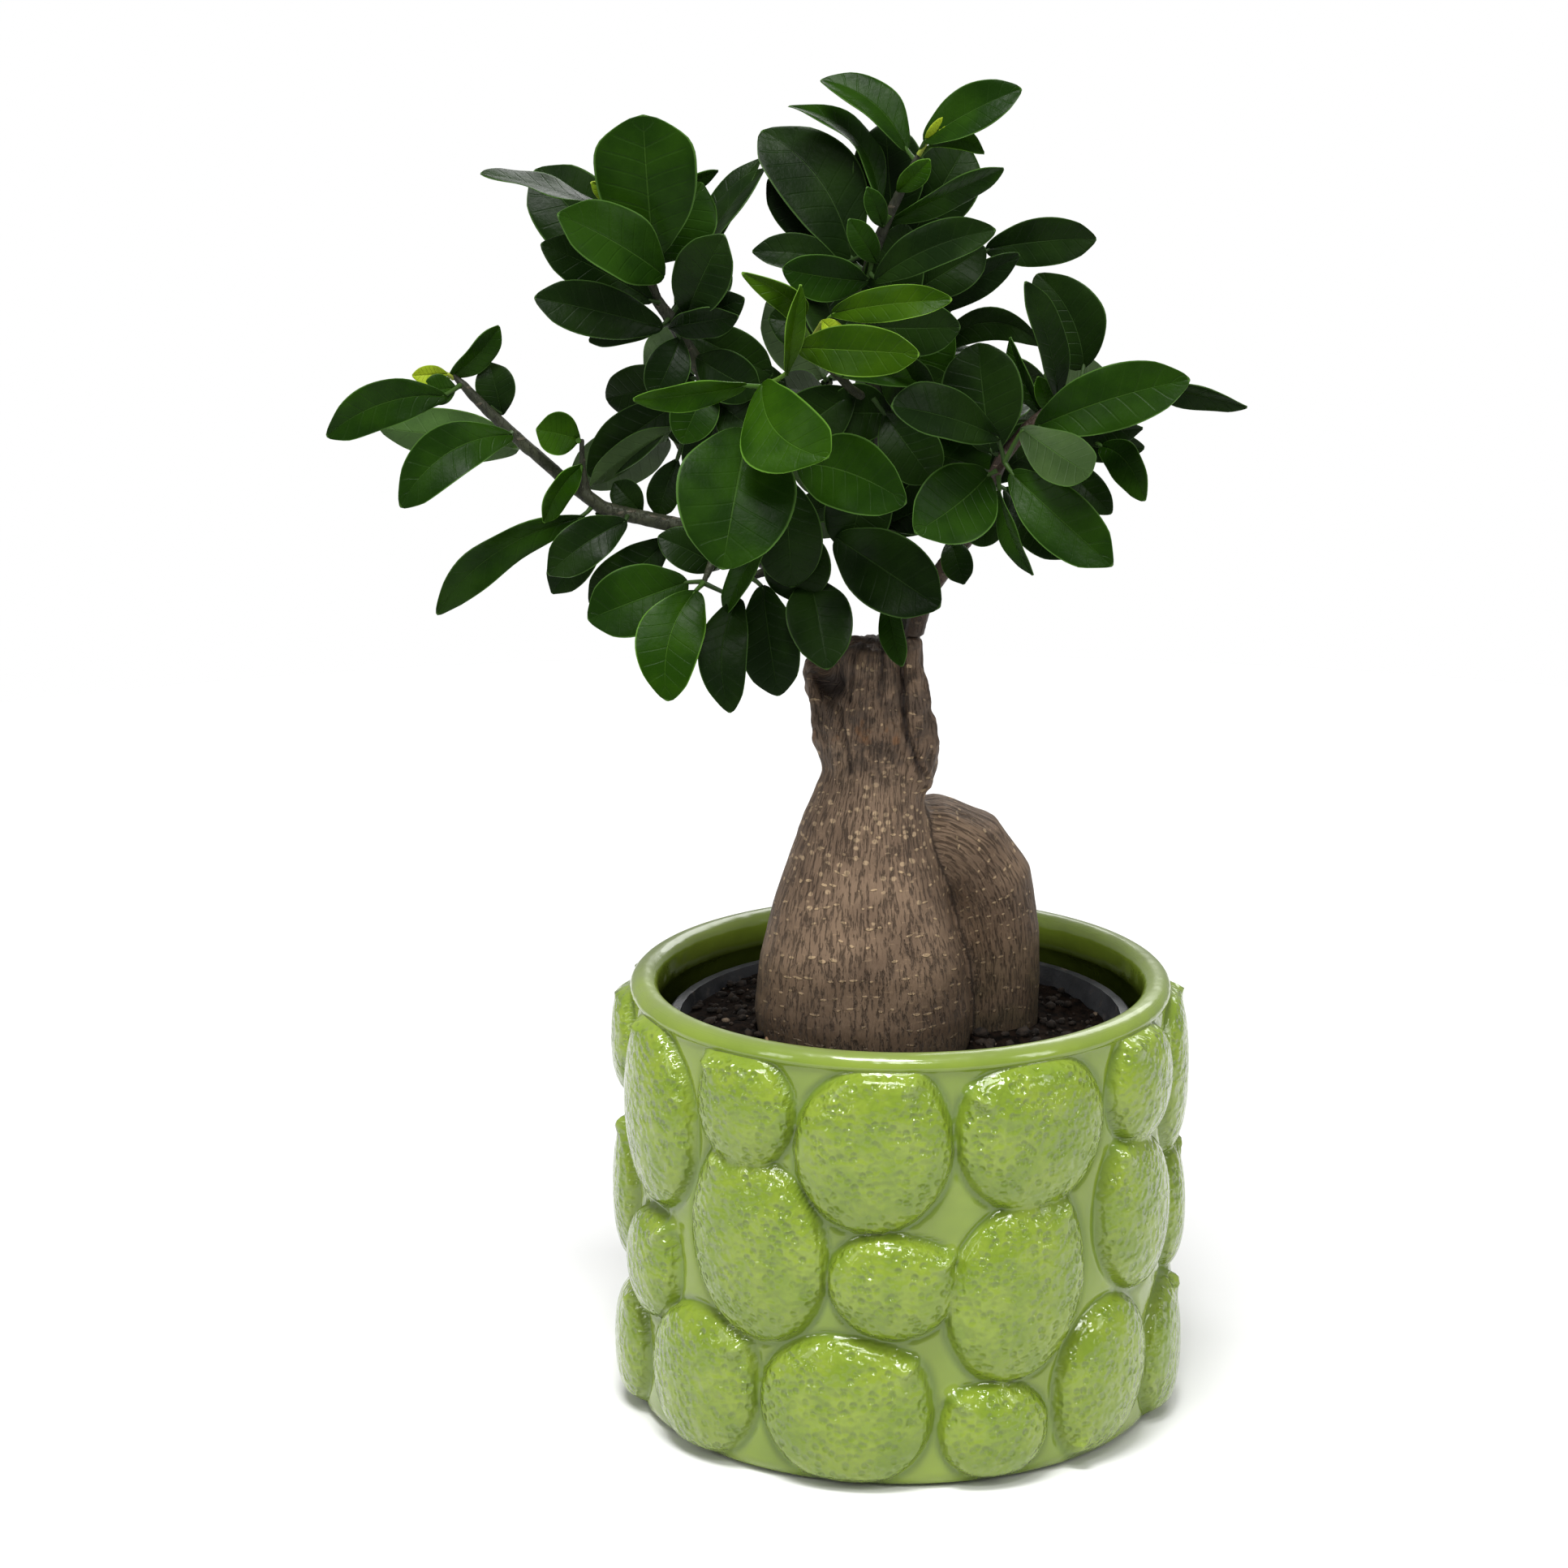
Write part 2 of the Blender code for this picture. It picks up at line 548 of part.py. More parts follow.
# Leaves as drawn from the front, by shoot. Each row: where the blade starts (x, height, depth), its tip (x,
# height, depth), its width, its roll about its own length in degrees from facing the viewpoint, the rise of
# its arch in the middle, how far its halves fold up (1 is a right angle between them), its sideways sweep in
# the middle, to the right when looking from its base to its tip, and the share of its length where it is widest.
LEAVES = {
    "top_left": [
        (-73, 312.5, -16, -105.5, 322, -22, 15, 76, 1.5, 0.15, -1.2, 0.6),
        (-62.5, 301.5, -17, -65, 336.8, -22, 25.5, -8, 2.0, 0.12, 0.0, 0.72),
        (-66, 295, -2, -92, 323, 10, 20.5, 0, 2.0, 0.25, 0.0, 0.6),
        (-60, 296.5, -22.5, -86.5, 312, -36, 18, 25, 2.5, 0.25, 0.0, 0.52),
        (-60.5, 283.5, -18, -92.5, 291, -26, 13.5, 8, 2.0, 0.25, 0.0, 0.62),
        (-56.5, 289, -2, -35, 323.5, 12, 12, -58, 3.0, 0.25, 0.0, 0.55),
        (-54.5, 286.5, -16, -45, 307, -24, 15, -15, 2.0, 0.25, 0.0, 0.6),
    ],
    "top_middle": [
        (-13, 300, 0, -35.5, 333, 12, 21, 10, 2.0, 0.20, 4.5, 0.6),
        (-6.5, 313, 0, -29, 339, 4, 11, 55, 4.0, 0.35, 7.0, 0.5),
        (0.4, 328, -4, -21, 345.5, 4, 12, 38, 2.5, 0.40, 2.8, 0.55),
        (4.5, 330.5, -12, 28.5, 343.5, -16, 12, -22, 2.5, 0.35, 0.0, 0.55),
        (-7.5, 295.5, -14, 22.5, 308.5, -26, 11.5, -18, 2.0, 0.35, -1.5, 0.6),
        (20, 303.5, 17, 47.5, 306.3, 24, 12.5, 10, 1.5, 0.25, -1.0, 0.5),
    ],
    "young": [
        (-26, 285.4, -28, -40.5, 297.5, -40, 7.2, -20, 4.5, 0.50, 4.0, 0.5),
        (-18.2, 287.2, -32, 11.8, 290.9, -46, 9, -12, 3.0, 0.30, 0.0, 0.6),
        (-27, 278.5, -34, 3.8, 277, -48, 12.6, 4, 2.0, 0.15, -0.3, 0.6),
    ],
    "front": [
        (-35.5, 269.5, -41, -19, 250.5, -60, 20.5, 6, 2.0, 0.14, 5.0, 0.62),
        (-39, 258, -36, -45.8, 221.5, -56, 29.5, -4, 3.0, 0.10, 0.4, 0.5),
        (-26.5, 249, -28, 0.8, 239, -44, 18.8, 6, 2.0, 0.18, -2.4, 0.5),
        (22, 252, -19, 18.5, 280, -14, 20.5, -10, 1.5, 0.15, 0.0, 0.6),
        (24, 255.8, -27, -3.2, 263.8, -46, 14.5, 30, 2.5, 0.35, 0.0, 0.75),
        (-15.5, 271.2, -21, 16.5, 266.7, -3, 8.5, -45, 2.5, 0.40, 0.0, 0.6),
        (6.5, 277.3, 7.8, 34.5, 279.5, 11, 9, 20, 4.0, 0.30, -8.5, 0.45),
    ],
    "right": [
        (45, 273.5, -4, 33, 297.5, 2, 17, -8, 2.0, 0.18, 3.2, 0.4),
        (38.5, 266, -16, 30, 295.5, -24, 9.5, 35, 2.0, 0.40, 0.5, 0.55),
        (33, 258.5, -22, 71.5, 271, -34, 16, -5, 2.5, 0.22, -1.0, 0.6),
        (57, 270.5, -4, 86, 264, -12, 9, 50, 1.0, 0.30, -1.5, 0.5),
        (29.5, 258.3, -29, 47, 246.5, -52, 13.5, 168, 1.5, 0.20, 0.0, 0.6),
        (49.5, 253.8, -14, 61, 240, -26, 10, 25, 2.5, 0.25, -3.8, 0.55),
        (27, 247, -30, 53, 223, -46, 15.5, 4, 2.5, 0.22, 0.0, 0.6),
        (21.5, 246.5, -26, 3, 231.3, -46, 19.5, 0, 2.0, 0.15, -1.0, 0.55),
    ],
    "low": [
        (-17, 230, -14, 9.5, 212, -30, 19.5, 0, 2.5, 0.15, 0.0, 0.6),
        (-23.5, 219, -12, -19, 195.5, -30, 16.5, -6, 2.5, 0.28, 0.0, 0.55),
        (-35.5, 217.5, -18, -31.5, 188.5, -24, 15, 8, 2.0, 0.15, 0.0, 0.6),
        (-41.5, 214, -25, -44, 184, -38, 12.5, -12, 2.5, 0.22, 3.8, 0.55),
        (-52.5, 216, -27, -60, 187, -40, 16.7, 6, 3.0, 0.15, 3.0, 0.5),
        (-54.5, 218.3, -20, -80, 208.3, -26, 17.5, 6, 2.0, 0.20, 0.0, 0.6),
        (-59.5, 229, -8, -79.5, 212.5, -8, 13, 10, 2.0, 0.15, -1.0, 0.6),
    ],
    "left": [
        (-70, 234, -18, -90, 220, -26, 12, 8, 2.0, 0.22, 0.8, 0.6),
        (-80.5, 235, -14, -118.5, 209.5, -14, 10.5, -25, 3.0, 0.30, 6.5, 0.6),
        (-98.5, 256, -20, -127.3, 237.4, -34, 13.8, 4, 3.0, 0.15, 4.6, 0.6),
        (-115, 265.8, -18, -145.5, 255.5, -26, 12, -10, 3.0, 0.25, 3.8, 0.6),
        (-97, 252.5, -4, -132, 257.5, 8, 13.5, 165, 2.5, 0.25, 0.0, 0.55),
        (-56, 264.5, -4, -79.5, 245.5, -2, 13, 12, 1.5, 0.20, 1.0, 0.55),
        (-52.5, 271, 2, -74.8, 265.5, 12, 13.5, -6, 2.5, 0.15, 0.0, 0.6),
        (-39.5, 269, -37, -68, 265.2, -46, 7.6, -30, 2.0, 0.30, 0.4, 0.55),
    ],
    "back": [
        (-20, 271, 52, -34, 291, 66, 18, 170, 2.0, 0.20, 0.0, 0.6),
        (-12, 262, 47, 8, 280, 64, 17, 195, 2.5, 0.20, 0.0, 0.6),
        (34, 268, 44, 52, 271, 58, 15, 185, 2.0, 0.20, 0.0, 0.6),
        (30, 262, 44, 44, 244, 60, 16, 175, 3.0, 0.20, 0.0, 0.6),
        (-64, 270, 50, -50, 284, 63, 16, 190, 2.0, 0.20, 0.0, 0.6),
        (-59, 255, 43, -84, 244, 56, 16, 170, 3.0, 0.20, 0.0, 0.6),
        (-9, 249, 31, -22, 230, 54, 18, 180, 3.0, 0.20, 0.0, 0.6),
    ],
}
BLADE_SHARES = (0.0, 0.14, 0.36, 0.60, 0.82, 0.94, 1.0)  # where along a blade its rings of points lie


def blade_width(share, fullest):
    """The share of a blade's full width at a share of its length."""
    if share < fullest:
        return 0.07 + 0.93 * (1.0 - (1.0 - share / fullest) ** 2.6)
    beyond = (share - fullest) / (1.0 - fullest)
    return max(0.06, (1.0 - beyond**1.8) ** (1.0 / 1.8))


def nearest_on_twigs(point):
    """The nearest point of all twigs' middle lines, and the twig's radius there."""
    best = None
    for name, paths in TWIGS.items():
        for number in range(len(paths)):
            centres, radii = twig_path(name, number)
            for index in range(len(centres) - 1):
                start, step = centres[index], centres[index + 1] - centres[index]
                share = min(1.0, max(0.0, (point - start).dot(step) / step.length_squared))
                place = start + share * step
                radius = radii[index] + share * (radii[index + 1] - radii[index])
                clear = (point - place).length - radius
                if best is None or clear < best[0]:
                    best = (clear, place, radius)
    return best[1], best[2]


def leaf_rings(row):
    """Rings of six points: upper and under side at the midrib and at each margin."""
    base, tip = sighted(*row[:3]), sighted(*row[3:6])
    width, arch, sweep = row[6] * TREE_SIZE, row[8] * TREE_SIZE, row[10] * TREE_SIZE
    roll, fold, fullest = math.radians(row[7]), row[9], row[11]
    along = (tip - base).normalized()
    sight = (VIEWPOINT - 0.5 * (base + tip)).normalized()
    face = (sight - sight.dot(along) * along).normalized()
    upper = Matrix.Rotation(roll, 3, along) @ face
    across = along.cross(upper)
    rings = []
    twig_point, twig_radius = nearest_on_twigs(base)
    stalk = base - twig_point
    start = twig_point + stalk.normalized() * (twig_radius + FIT_GAP + 0.4 * STALK_WIDTH)
    half_stalk = 0.5 * STALK_WIDTH * TREE_SIZE
    leaving = (base - start).normalized()
    for middle, direction in ((start, leaving), (0.5 * (start + base), leaving + along)):
        turn = along.rotation_difference(direction)
        side, lift = half_stalk * (turn @ across), half_stalk * (turn @ upper)
        rings.append(
            [
                middle + left * side + up * lift
                for left, up in ((-1, 0.35), (0, 0.5), (1, 0.35), (1, -0.35), (0, -0.8), (-1, -0.35))
            ]
        )
    for share in BLADE_SHARES:
        bow = 4.0 * share * (1.0 - share)
        middle = base + share * (tip - base) + bow * (arch * upper + sweep * across)
        half = max(0.5 * width * blade_width(share, fullest), 0.35 * STALK_WIDTH)
        rise = fold * half
        thick = LEAF_THICKNESS * (1.0 - 0.45 * share)
        rim = 0.6 * thick
        left, right = middle - half * across + rise * upper, middle + half * across + rise * upper
        rings.append(
            [
                left + 0.5 * rim * upper,
                middle + 0.5 * thick * upper,
                right + 0.5 * rim * upper,
                right - 0.5 * rim * upper,
                middle - 0.5 * thick * upper,
                left - 0.5 * rim * upper,
            ]
        )
    return rings


def build_leaf(name, row, skin):
    rings = leaf_rings(row)
    points = [point for ring in rings for point in ring]
    faces = []
    for ring in range(len(rings) - 1):
        low, high = 6 * ring, 6 * (ring + 1)
        for side in range(6):
            after = (side + 1) % 6
            faces.append((low + side, low + after, high + after, high + side))
    last = 6 * (len(rings) - 1)
    faces += [(0, 5, 4, 1), (1, 4, 3, 2)]
    faces += [(last, last + 1, last + 4, last + 5), (last + 1, last + 2, last + 3, last + 4)]
    return add_object(name, points, faces, skin)


def main():
    clear_scene()
    glaze = material("lime_glaze", (0.30, 0.46, 0.06), 0.18)
    plastic = material("grey_plastic", (0.03, 0.03, 0.035), 0.45)
    earth = material("dark_soil", (0.022, 0.014, 0.010), 0.95)
    bark = material("grey_brown_bark", (0.16, 0.115, 0.08), 0.85)
    twig_bark = material("twig_bark", (0.06, 0.055, 0.03), 0.7)
    skins = {
        "old": material("dark_leaf", (0.015, 0.045, 0.010), 0.38),
        "young": material("young_leaf", (0.085, 0.22, 0.012), 0.38),
    }
    build_ceramic_pot(glaze)
    build_nursery_pot(plastic)
    build_soil(earth)
    build_rootstock("rootstock", bark)
    for name in TWIGS:
        build_scion(name, twig_bark)
    for shoot, rows in LEAVES.items():
        for number, row in enumerate(rows):
            build_leaf(f"leaf_{shoot}_{number + 1}", row, skins["young" if shoot == "young" else "old"])


main()
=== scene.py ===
"""The looks of a small grafted ficus in a glazed cover pot with limes in relief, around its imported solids.

Sizes are in metres, and MM turns the millimetres that this file is written in into metres. The origin is the
middle of the pot's flat underside, +Z is up, and the side seen from the front faces -Y.
"""

import json
import math
import random

import bmesh
import bpy
import numpy as np
from mathutils import Matrix, Vector, kdtree, noise
from mathutils.bvhtree import BVHTree

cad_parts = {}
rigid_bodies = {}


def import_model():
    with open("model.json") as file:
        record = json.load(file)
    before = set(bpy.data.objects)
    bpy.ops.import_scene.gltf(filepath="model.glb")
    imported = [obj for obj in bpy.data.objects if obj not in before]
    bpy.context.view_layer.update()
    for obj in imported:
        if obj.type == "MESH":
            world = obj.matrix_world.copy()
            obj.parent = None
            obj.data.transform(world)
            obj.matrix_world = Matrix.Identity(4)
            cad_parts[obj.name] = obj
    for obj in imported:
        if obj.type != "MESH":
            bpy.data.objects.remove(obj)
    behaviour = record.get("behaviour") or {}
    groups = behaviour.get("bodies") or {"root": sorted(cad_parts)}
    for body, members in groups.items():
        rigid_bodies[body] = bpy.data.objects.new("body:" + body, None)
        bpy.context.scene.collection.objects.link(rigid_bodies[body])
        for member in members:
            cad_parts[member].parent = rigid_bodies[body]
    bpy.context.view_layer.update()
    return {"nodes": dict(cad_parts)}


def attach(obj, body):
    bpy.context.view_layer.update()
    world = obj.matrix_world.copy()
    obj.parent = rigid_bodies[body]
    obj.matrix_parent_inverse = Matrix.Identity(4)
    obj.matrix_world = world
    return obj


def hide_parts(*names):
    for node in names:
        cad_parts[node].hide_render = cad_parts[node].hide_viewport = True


MM = 0.001
BODY = "root"

# The point that drawn leaves are seen from, as in the part's own source, in millimetres.
VIEWPOINT = Vector((0.0, -1246.6, 510.0))

# ------------------------------------------------------------------------------------------ node helpers


def add_node(tree, kind, **settings):
    made = tree.nodes.new(kind)
    for name, value in settings.items():
        setattr(made, name, value)
    return made


def set_input(tree, socket, value):
    """Links a socket to a socket, or sets its own value."""
    if isinstance(value, bpy.types.NodeSocket):
        tree.links.new(value, socket)
    elif isinstance(value, tuple) and len(value) == 3 and socket.type == "RGBA":
        socket.default_value = (*value, 1.0)
    else:
        socket.default_value = value


def calculate(tree, operation, first, second=None, third=None, clamp=False):
    made = add_node(tree, "ShaderNodeMath", operation=operation, use_clamp=clamp)
    for index, value in enumerate((first, second, third)):
        if value is not None:
            set_input(tree, made.inputs[index], value)
    return made.outputs[0]


def blend_colours(tree, share, first, second, blend_type="MIX"):
    made = add_node(tree, "ShaderNodeMix", data_type="RGBA", blend_type=blend_type)
    set_input(tree, made.inputs["Factor"], share)
    set_input(tree, made.inputs[6], first)
    set_input(tree, made.inputs[7], second)
    return made.outputs[2]


def product(tree, first, *others):
    """The product of two or more values."""
    for other in others:
        first = calculate(tree, "MULTIPLY", first, other)
    return first


def tinted(tree, colour, mask, strength, towards):
    """A colour that goes towards another by a share of a mask."""
    return blend_colours(tree, product(tree, mask, strength), colour, towards)


def ramp_between(tree, value, low, high, start=0.0, end=1.0):
    """A smooth step of value from start to end as it goes from low to high."""
    made = add_node(tree, "ShaderNodeMapRange", interpolation_type="SMOOTHSTEP")
    set_input(tree, made.inputs["Value"], value)
    made.inputs["From Min"].default_value = low
    made.inputs["From Max"].default_value = high
    made.inputs["To Min"].default_value = start
    made.inputs["To Max"].default_value = end
    return made.outputs["Result"]


def noise_value(tree, vector, scale, detail=3.0, roughness=0.55, stretch=None):
    if stretch:
        vector = stretched(tree, vector, stretch)
    made = add_node(tree, "ShaderNodeTexNoise", noise_dimensions="3D")
    set_input(tree, made.inputs["Vector"], vector)
    made.inputs["Scale"].default_value = scale
    made.inputs["Detail"].default_value = detail
    made.inputs["Roughness"].default_value = roughness
    return made.outputs["Fac"]


def stretched(tree, vector, factors):
    made = add_node(tree, "ShaderNodeVectorMath", operation="MULTIPLY")
    set_input(tree, made.inputs[0], vector)
    made.inputs[1].default_value = factors
    return made.outputs["Vector"]


def new_group(name, inputs, outputs):
    """An empty shader node group with named sockets: (name, type, default) in, and (name, type) out."""
    tree = bpy.data.node_groups.new(name, "ShaderNodeTree")
    for socket_name, kind, default in inputs:
        socket = tree.interface.new_socket(socket_name, in_out="INPUT", socket_type=kind)
        if default is not None:
            socket.default_value = default
    for socket_name, kind in outputs:
        tree.interface.new_socket(socket_name, in_out="OUTPUT", socket_type=kind)
    return tree, add_node(tree, "NodeGroupInput").outputs, add_node(tree, "NodeGroupOutput").inputs


def place_group(tree, group, **values):
    made = add_node(tree, "ShaderNodeGroup", node_tree=group)
    for name, value in values.items():
        set_input(tree, made.inputs[name.replace("_", " ")], value)
    return made.outputs


def new_material(name, roughness=0.5, specular=0.5, coat=0.0, coat_roughness=0.05):
    """A material with its shader, and its tree to add to."""
    made = bpy.data.materials.new(name)
    made.use_nodes = True
    shader = made.node_tree.nodes["Principled BSDF"]
    shader.inputs["Roughness"].default_value = roughness
    shader.inputs["Specular IOR Level"].default_value = specular
    shader.inputs["Coat Weight"].default_value = coat
    shader.inputs["Coat Roughness"].default_value = coat_roughness
    return made, made.node_tree, shader


def raise_surface(tree, shader, height, distance, strength=1.0):
    bump = add_node(tree, "ShaderNodeBump")
    bump.inputs["Strength"].default_value = strength
    bump.inputs["Distance"].default_value = distance
    set_input(tree, bump.inputs["Height"], height)
    tree.links.new(bump.outputs["Normal"], shader.inputs["Normal"])


def attribute(tree, name, output="Fac"):
    return add_node(tree, "ShaderNodeAttribute", attribute_name=name).outputs[output]


def own_position(tree):
    return add_node(tree, "ShaderNodeTexCoord").outputs["Object"]


COLOUR, VALUE, VECTOR = "NodeSocketColor", "NodeSocketFloat", "NodeSocketVector"

# --------------------------------------------------------------------------------------- shared effects


def make_mottling_group():
    """Soft cloudy patches between two colours, as old leaves, bark, glaze and soil all have."""
    tree, given, result = new_group(
        "mottling",
        [
            ("Place", VECTOR, None),
            ("Patch Scale", VALUE, 60.0),
            ("Light", COLOUR, None),
            ("Dark", COLOUR, None),
        ],
        [("Colour", COLOUR), ("Patches", VALUE)],
    )
    large = add_node(tree, "ShaderNodeTexNoise")
    tree.links.new(given["Place"], large.inputs["Vector"])
    tree.links.new(given["Patch Scale"], large.inputs["Scale"])
    large.inputs["Detail"].default_value = 4.0
    patches = ramp_between(tree, large.outputs["Fac"], 0.34, 0.66)
    tree.links.new(blend_colours(tree, patches, given["Dark"], given["Light"]), result["Colour"])
    tree.links.new(patches, result["Patches"])
    return tree


# Side veins along a blade, how far each leans towards the tip, and how that lean bends.
VEIN_COUNT = 9.0
VEIN_BEND = 1.15
VEIN_CURVE = 0.8


def make_leaf_group(mottling):
    """A leaf's face from its own coordinates: across, and along from 0 at the stalk to 1 at the tip."""
    tree, given, result = new_group(
        "leaf_face",
        [
            ("Blade", VECTOR, None),
            ("Place", VECTOR, None),
            ("Light", COLOUR, None),
            ("Dark", COLOUR, None),
            ("Rib", COLOUR, None),
            ("Margin", COLOUR, None),
            ("Rib Strength", VALUE, 0.5),
            ("Margin Strength", VALUE, 0.8),
        ],
        [("Colour", COLOUR), ("Height", VALUE), ("Gloss Change", VALUE)],
    )
    parts = add_node(tree, "ShaderNodeSeparateXYZ")
    tree.links.new(given["Blade"], parts.inputs[0])
    centred = calculate(tree, "MULTIPLY_ADD", parts.outputs["X"], 2.0, -1.0)
    aside = calculate(tree, "ABSOLUTE", centred)
    along = parts.outputs["Y"]
    cloudy = cloudy_colours(tree, mottling, given["Place"], 75.0, given["Light"], given["Dark"])
    # The midrib narrows towards the tip.
    rib_width = calculate(tree, "MULTIPLY_ADD", along, -0.022, 0.036)
    rib = ramp_between(tree, calculate(tree, "DIVIDE", aside, rib_width), 0.35, 1.0, 1.0, 0.0)
    rib_fade = ramp_between(tree, along, 0.75, 1.0, 1.0, 0.25)
    rib_mask = product(tree, rib, rib_fade)
    # Side veins leave the midrib at an angle and bend towards the tip.
    bend = product(tree, calculate(tree, "POWER", aside, VEIN_CURVE), -VEIN_BEND)
    phase = calculate(tree, "MULTIPLY_ADD", along, VEIN_COUNT, bend)
    wave = calculate(tree, "COSINE", product(tree, phase, 2.0 * math.pi))
    vein = ramp_between(tree, wave, 0.86, 1.0)
    vein = product(tree, vein, ramp_between(tree, aside, 0.72, 0.95, 1.0, 0.0))
    # The margin is a pale edge that is also brightened as a painted highlight.
    edge = ramp_between(tree, aside, 0.945, 0.985)
    edge = calculate(tree, "MAXIMUM", edge, ramp_between(tree, along, 0.985, 0.998))
    fine = noise_value(tree, given["Place"], 900.0, detail=2.0)
    colour = tinted(tree, cloudy, vein, 0.035, given["Rib"])
    colour = tinted(tree, colour, rib_mask, given["Rib Strength"], given["Rib"])
    colour = tinted(tree, colour, edge, given["Margin Strength"], given["Margin"])
    shade = ramp_between(tree, along, 0.0, 0.22, 0.75, 1.0)
    shaded = add_node(tree, "ShaderNodeMix", data_type="RGBA", blend_type="MULTIPLY")
    shaded.inputs["Factor"].default_value = 1.0
    tree.links.new(colour, shaded.inputs[6])
    grey = add_node(tree, "ShaderNodeCombineColor")
    for channel in ("Red", "Green", "Blue"):
        tree.links.new(shade, grey.inputs[channel])
    tree.links.new(grey.outputs["Color"], shaded.inputs[7])
    tree.links.new(shaded.outputs[2], result["Colour"])
    height = calculate(tree, "MULTIPLY_ADD", vein, -0.30, product(tree, fine, 0.35))
    height = calculate(tree, "MULTIPLY_ADD", rib_mask, -0.6, height)
    tree.links.new(height, result["Height"])
    tree.links.new(calculate(tree, "MULTIPLY_ADD", fine, 0.16, -0.08), result["Gloss Change"])
    return tree


# The breathing pores of bark: the height of a row, the room of one pore in it and half a pore's height.
PORE_ROW_HEIGHT = 4.4 * MM
PORE_SPACING = 2.7 * MM
PORE_HALF_HEIGHT = 0.34 * MM


def squared_share(tree, value, whole):
    share = calculate(tree, "ABSOLUTE", calculate(tree, "DIVIDE", value, whole))
    return calculate(tree, "POWER", share, 2.0)


def make_bark_group(mottling):
    """Bark whose fine cracks run along its grain, with short pale breathing pores across it."""
    tree, given, result = new_group(
        "grained_bark",
        [
            ("Grain", VECTOR, None),
            ("Unrolled", VECTOR, None),
            ("Place", VECTOR, None),
            ("Light", COLOUR, None),
            ("Middle", COLOUR, None),
            ("Dark", COLOUR, None),
            ("Pore", COLOUR, None),
            ("Pore Amount", VALUE, 0.5),
        ],
        [("Colour", COLOUR), ("Height", VALUE)],
    )
    cloudy = cloudy_colours(tree, mottling, given["Place"], 55.0, given["Light"], given["Middle"])
    grain = given["Grain"]
    streaks = noise_value(tree, grain, 1.0, detail=6.0, roughness=0.68, stretch=(1100.0, 1100.0, 230.0))
    fine = noise_value(tree, grain, 1.0, detail=4.0, roughness=0.62, stretch=(1900.0, 1900.0, 420.0))
    cross = noise_value(tree, grain, 1.0, detail=3.0, roughness=0.6, stretch=(260.0, 260.0, 1300.0))
    crack = ramp_between(tree, streaks, 0.40, 0.50, 1.0, 0.0)
    crack = product(tree, crack, ramp_between(tree, fine, 0.35, 0.62))
    fleck = ramp_between(tree, cross, 0.60, 0.72)
    colour = tinted(tree, cloudy, crack, 0.5, given["Dark"])
    colour = tinted(tree, colour, ramp_between(tree, fine, 0.50, 0.72), 0.4, given["Light"])
    colour = tinted(tree, colour, fleck, 0.30, given["Pore"])
    # Breathing pores: short dashes across the grain, in rows round the root.
    unrolled = add_node(tree, "ShaderNodeSeparateXYZ")
    tree.links.new(given["Unrolled"], unrolled.inputs[0])
    sway = noise_value(tree, given["Place"], 45.0, detail=1.0)
    rows_up = calculate(tree, "DIVIDE", unrolled.outputs["Y"], PORE_ROW_HEIGHT)
    level = calculate(tree, "MULTIPLY_ADD", sway, 2.2, rows_up)
    row = calculate(tree, "FLOOR", level)
    row_chance = add_node(tree, "ShaderNodeTexWhiteNoise", noise_dimensions="1D")
    tree.links.new(row, row_chance.inputs["W"])
    places_round = calculate(tree, "DIVIDE", unrolled.outputs["X"], PORE_SPACING)
    place_in_row = calculate(tree, "MULTIPLY_ADD", row_chance.outputs["Value"], 9.0, places_round)
    step = calculate(tree, "FLOOR", place_in_row)
    pair = add_node(tree, "ShaderNodeCombineXYZ")
    tree.links.new(step, pair.inputs["X"])
    tree.links.new(row, pair.inputs["Y"])
    chance = add_node(tree, "ShaderNodeTexWhiteNoise", noise_dimensions="3D")
    tree.links.new(pair.outputs["Vector"], chance.inputs["Vector"])
    picked = add_node(tree, "ShaderNodeSeparateColor")
    tree.links.new(chance.outputs["Color"], picked.inputs[0])
    aside = calculate(tree, "SUBTRACT", calculate(tree, "FRACT", place_in_row), 0.5)
    half_length = calculate(tree, "MULTIPLY_ADD", picked.outputs["Green"], 0.30, 0.16)
    shift = calculate(tree, "MULTIPLY_ADD", picked.outputs["Blue"], 0.30, 0.35)
    share_above = calculate(tree, "SUBTRACT", calculate(tree, "FRACT", level), shift)
    above = product(tree, share_above, PORE_ROW_HEIGHT)
    flat = squared_share(tree, aside, half_length)
    tall = squared_share(tree, above, PORE_HALF_HEIGHT)
    uneven = calculate(tree, "MULTIPLY_ADD", fine, 1.6, -0.8)
    reach = calculate(tree, "ADD", calculate(tree, "ADD", flat, tall), uneven)
    dash = ramp_between(tree, reach, 0.6, 1.15, 1.0, 0.0)
    keep = calculate(tree, "LESS_THAN", picked.outputs["Red"], given["Pore Amount"])
    dash = product(tree, dash, keep)
    colour = tinted(tree, colour, dash, 0.8, given["Pore"])
    tree.links.new(colour, result["Colour"])
    height = calculate(tree, "MULTIPLY_ADD", crack, -0.8, product(tree, fine, 0.5))
    height = calculate(tree, "MULTIPLY_ADD", dash, 0.55, height)
    tree.links.new(height, result["Height"])
    return tree


def cloudy_colours(tree, mottling, place, patch_scale, light, dark):
    """A mottled colour between a light and a dark one."""
    made = place_group(tree, mottling, Place=place, Patch_Scale=patch_scale, Light=light, Dark=dark)
    return made["Colour"]


MOTTLING = make_mottling_group()
LEAF_FACE = make_leaf_group(MOTTLING)
GRAINED_BARK = make_bark_group(MOTTLING)

# -------------------------------------------------------------------------------------------- materials


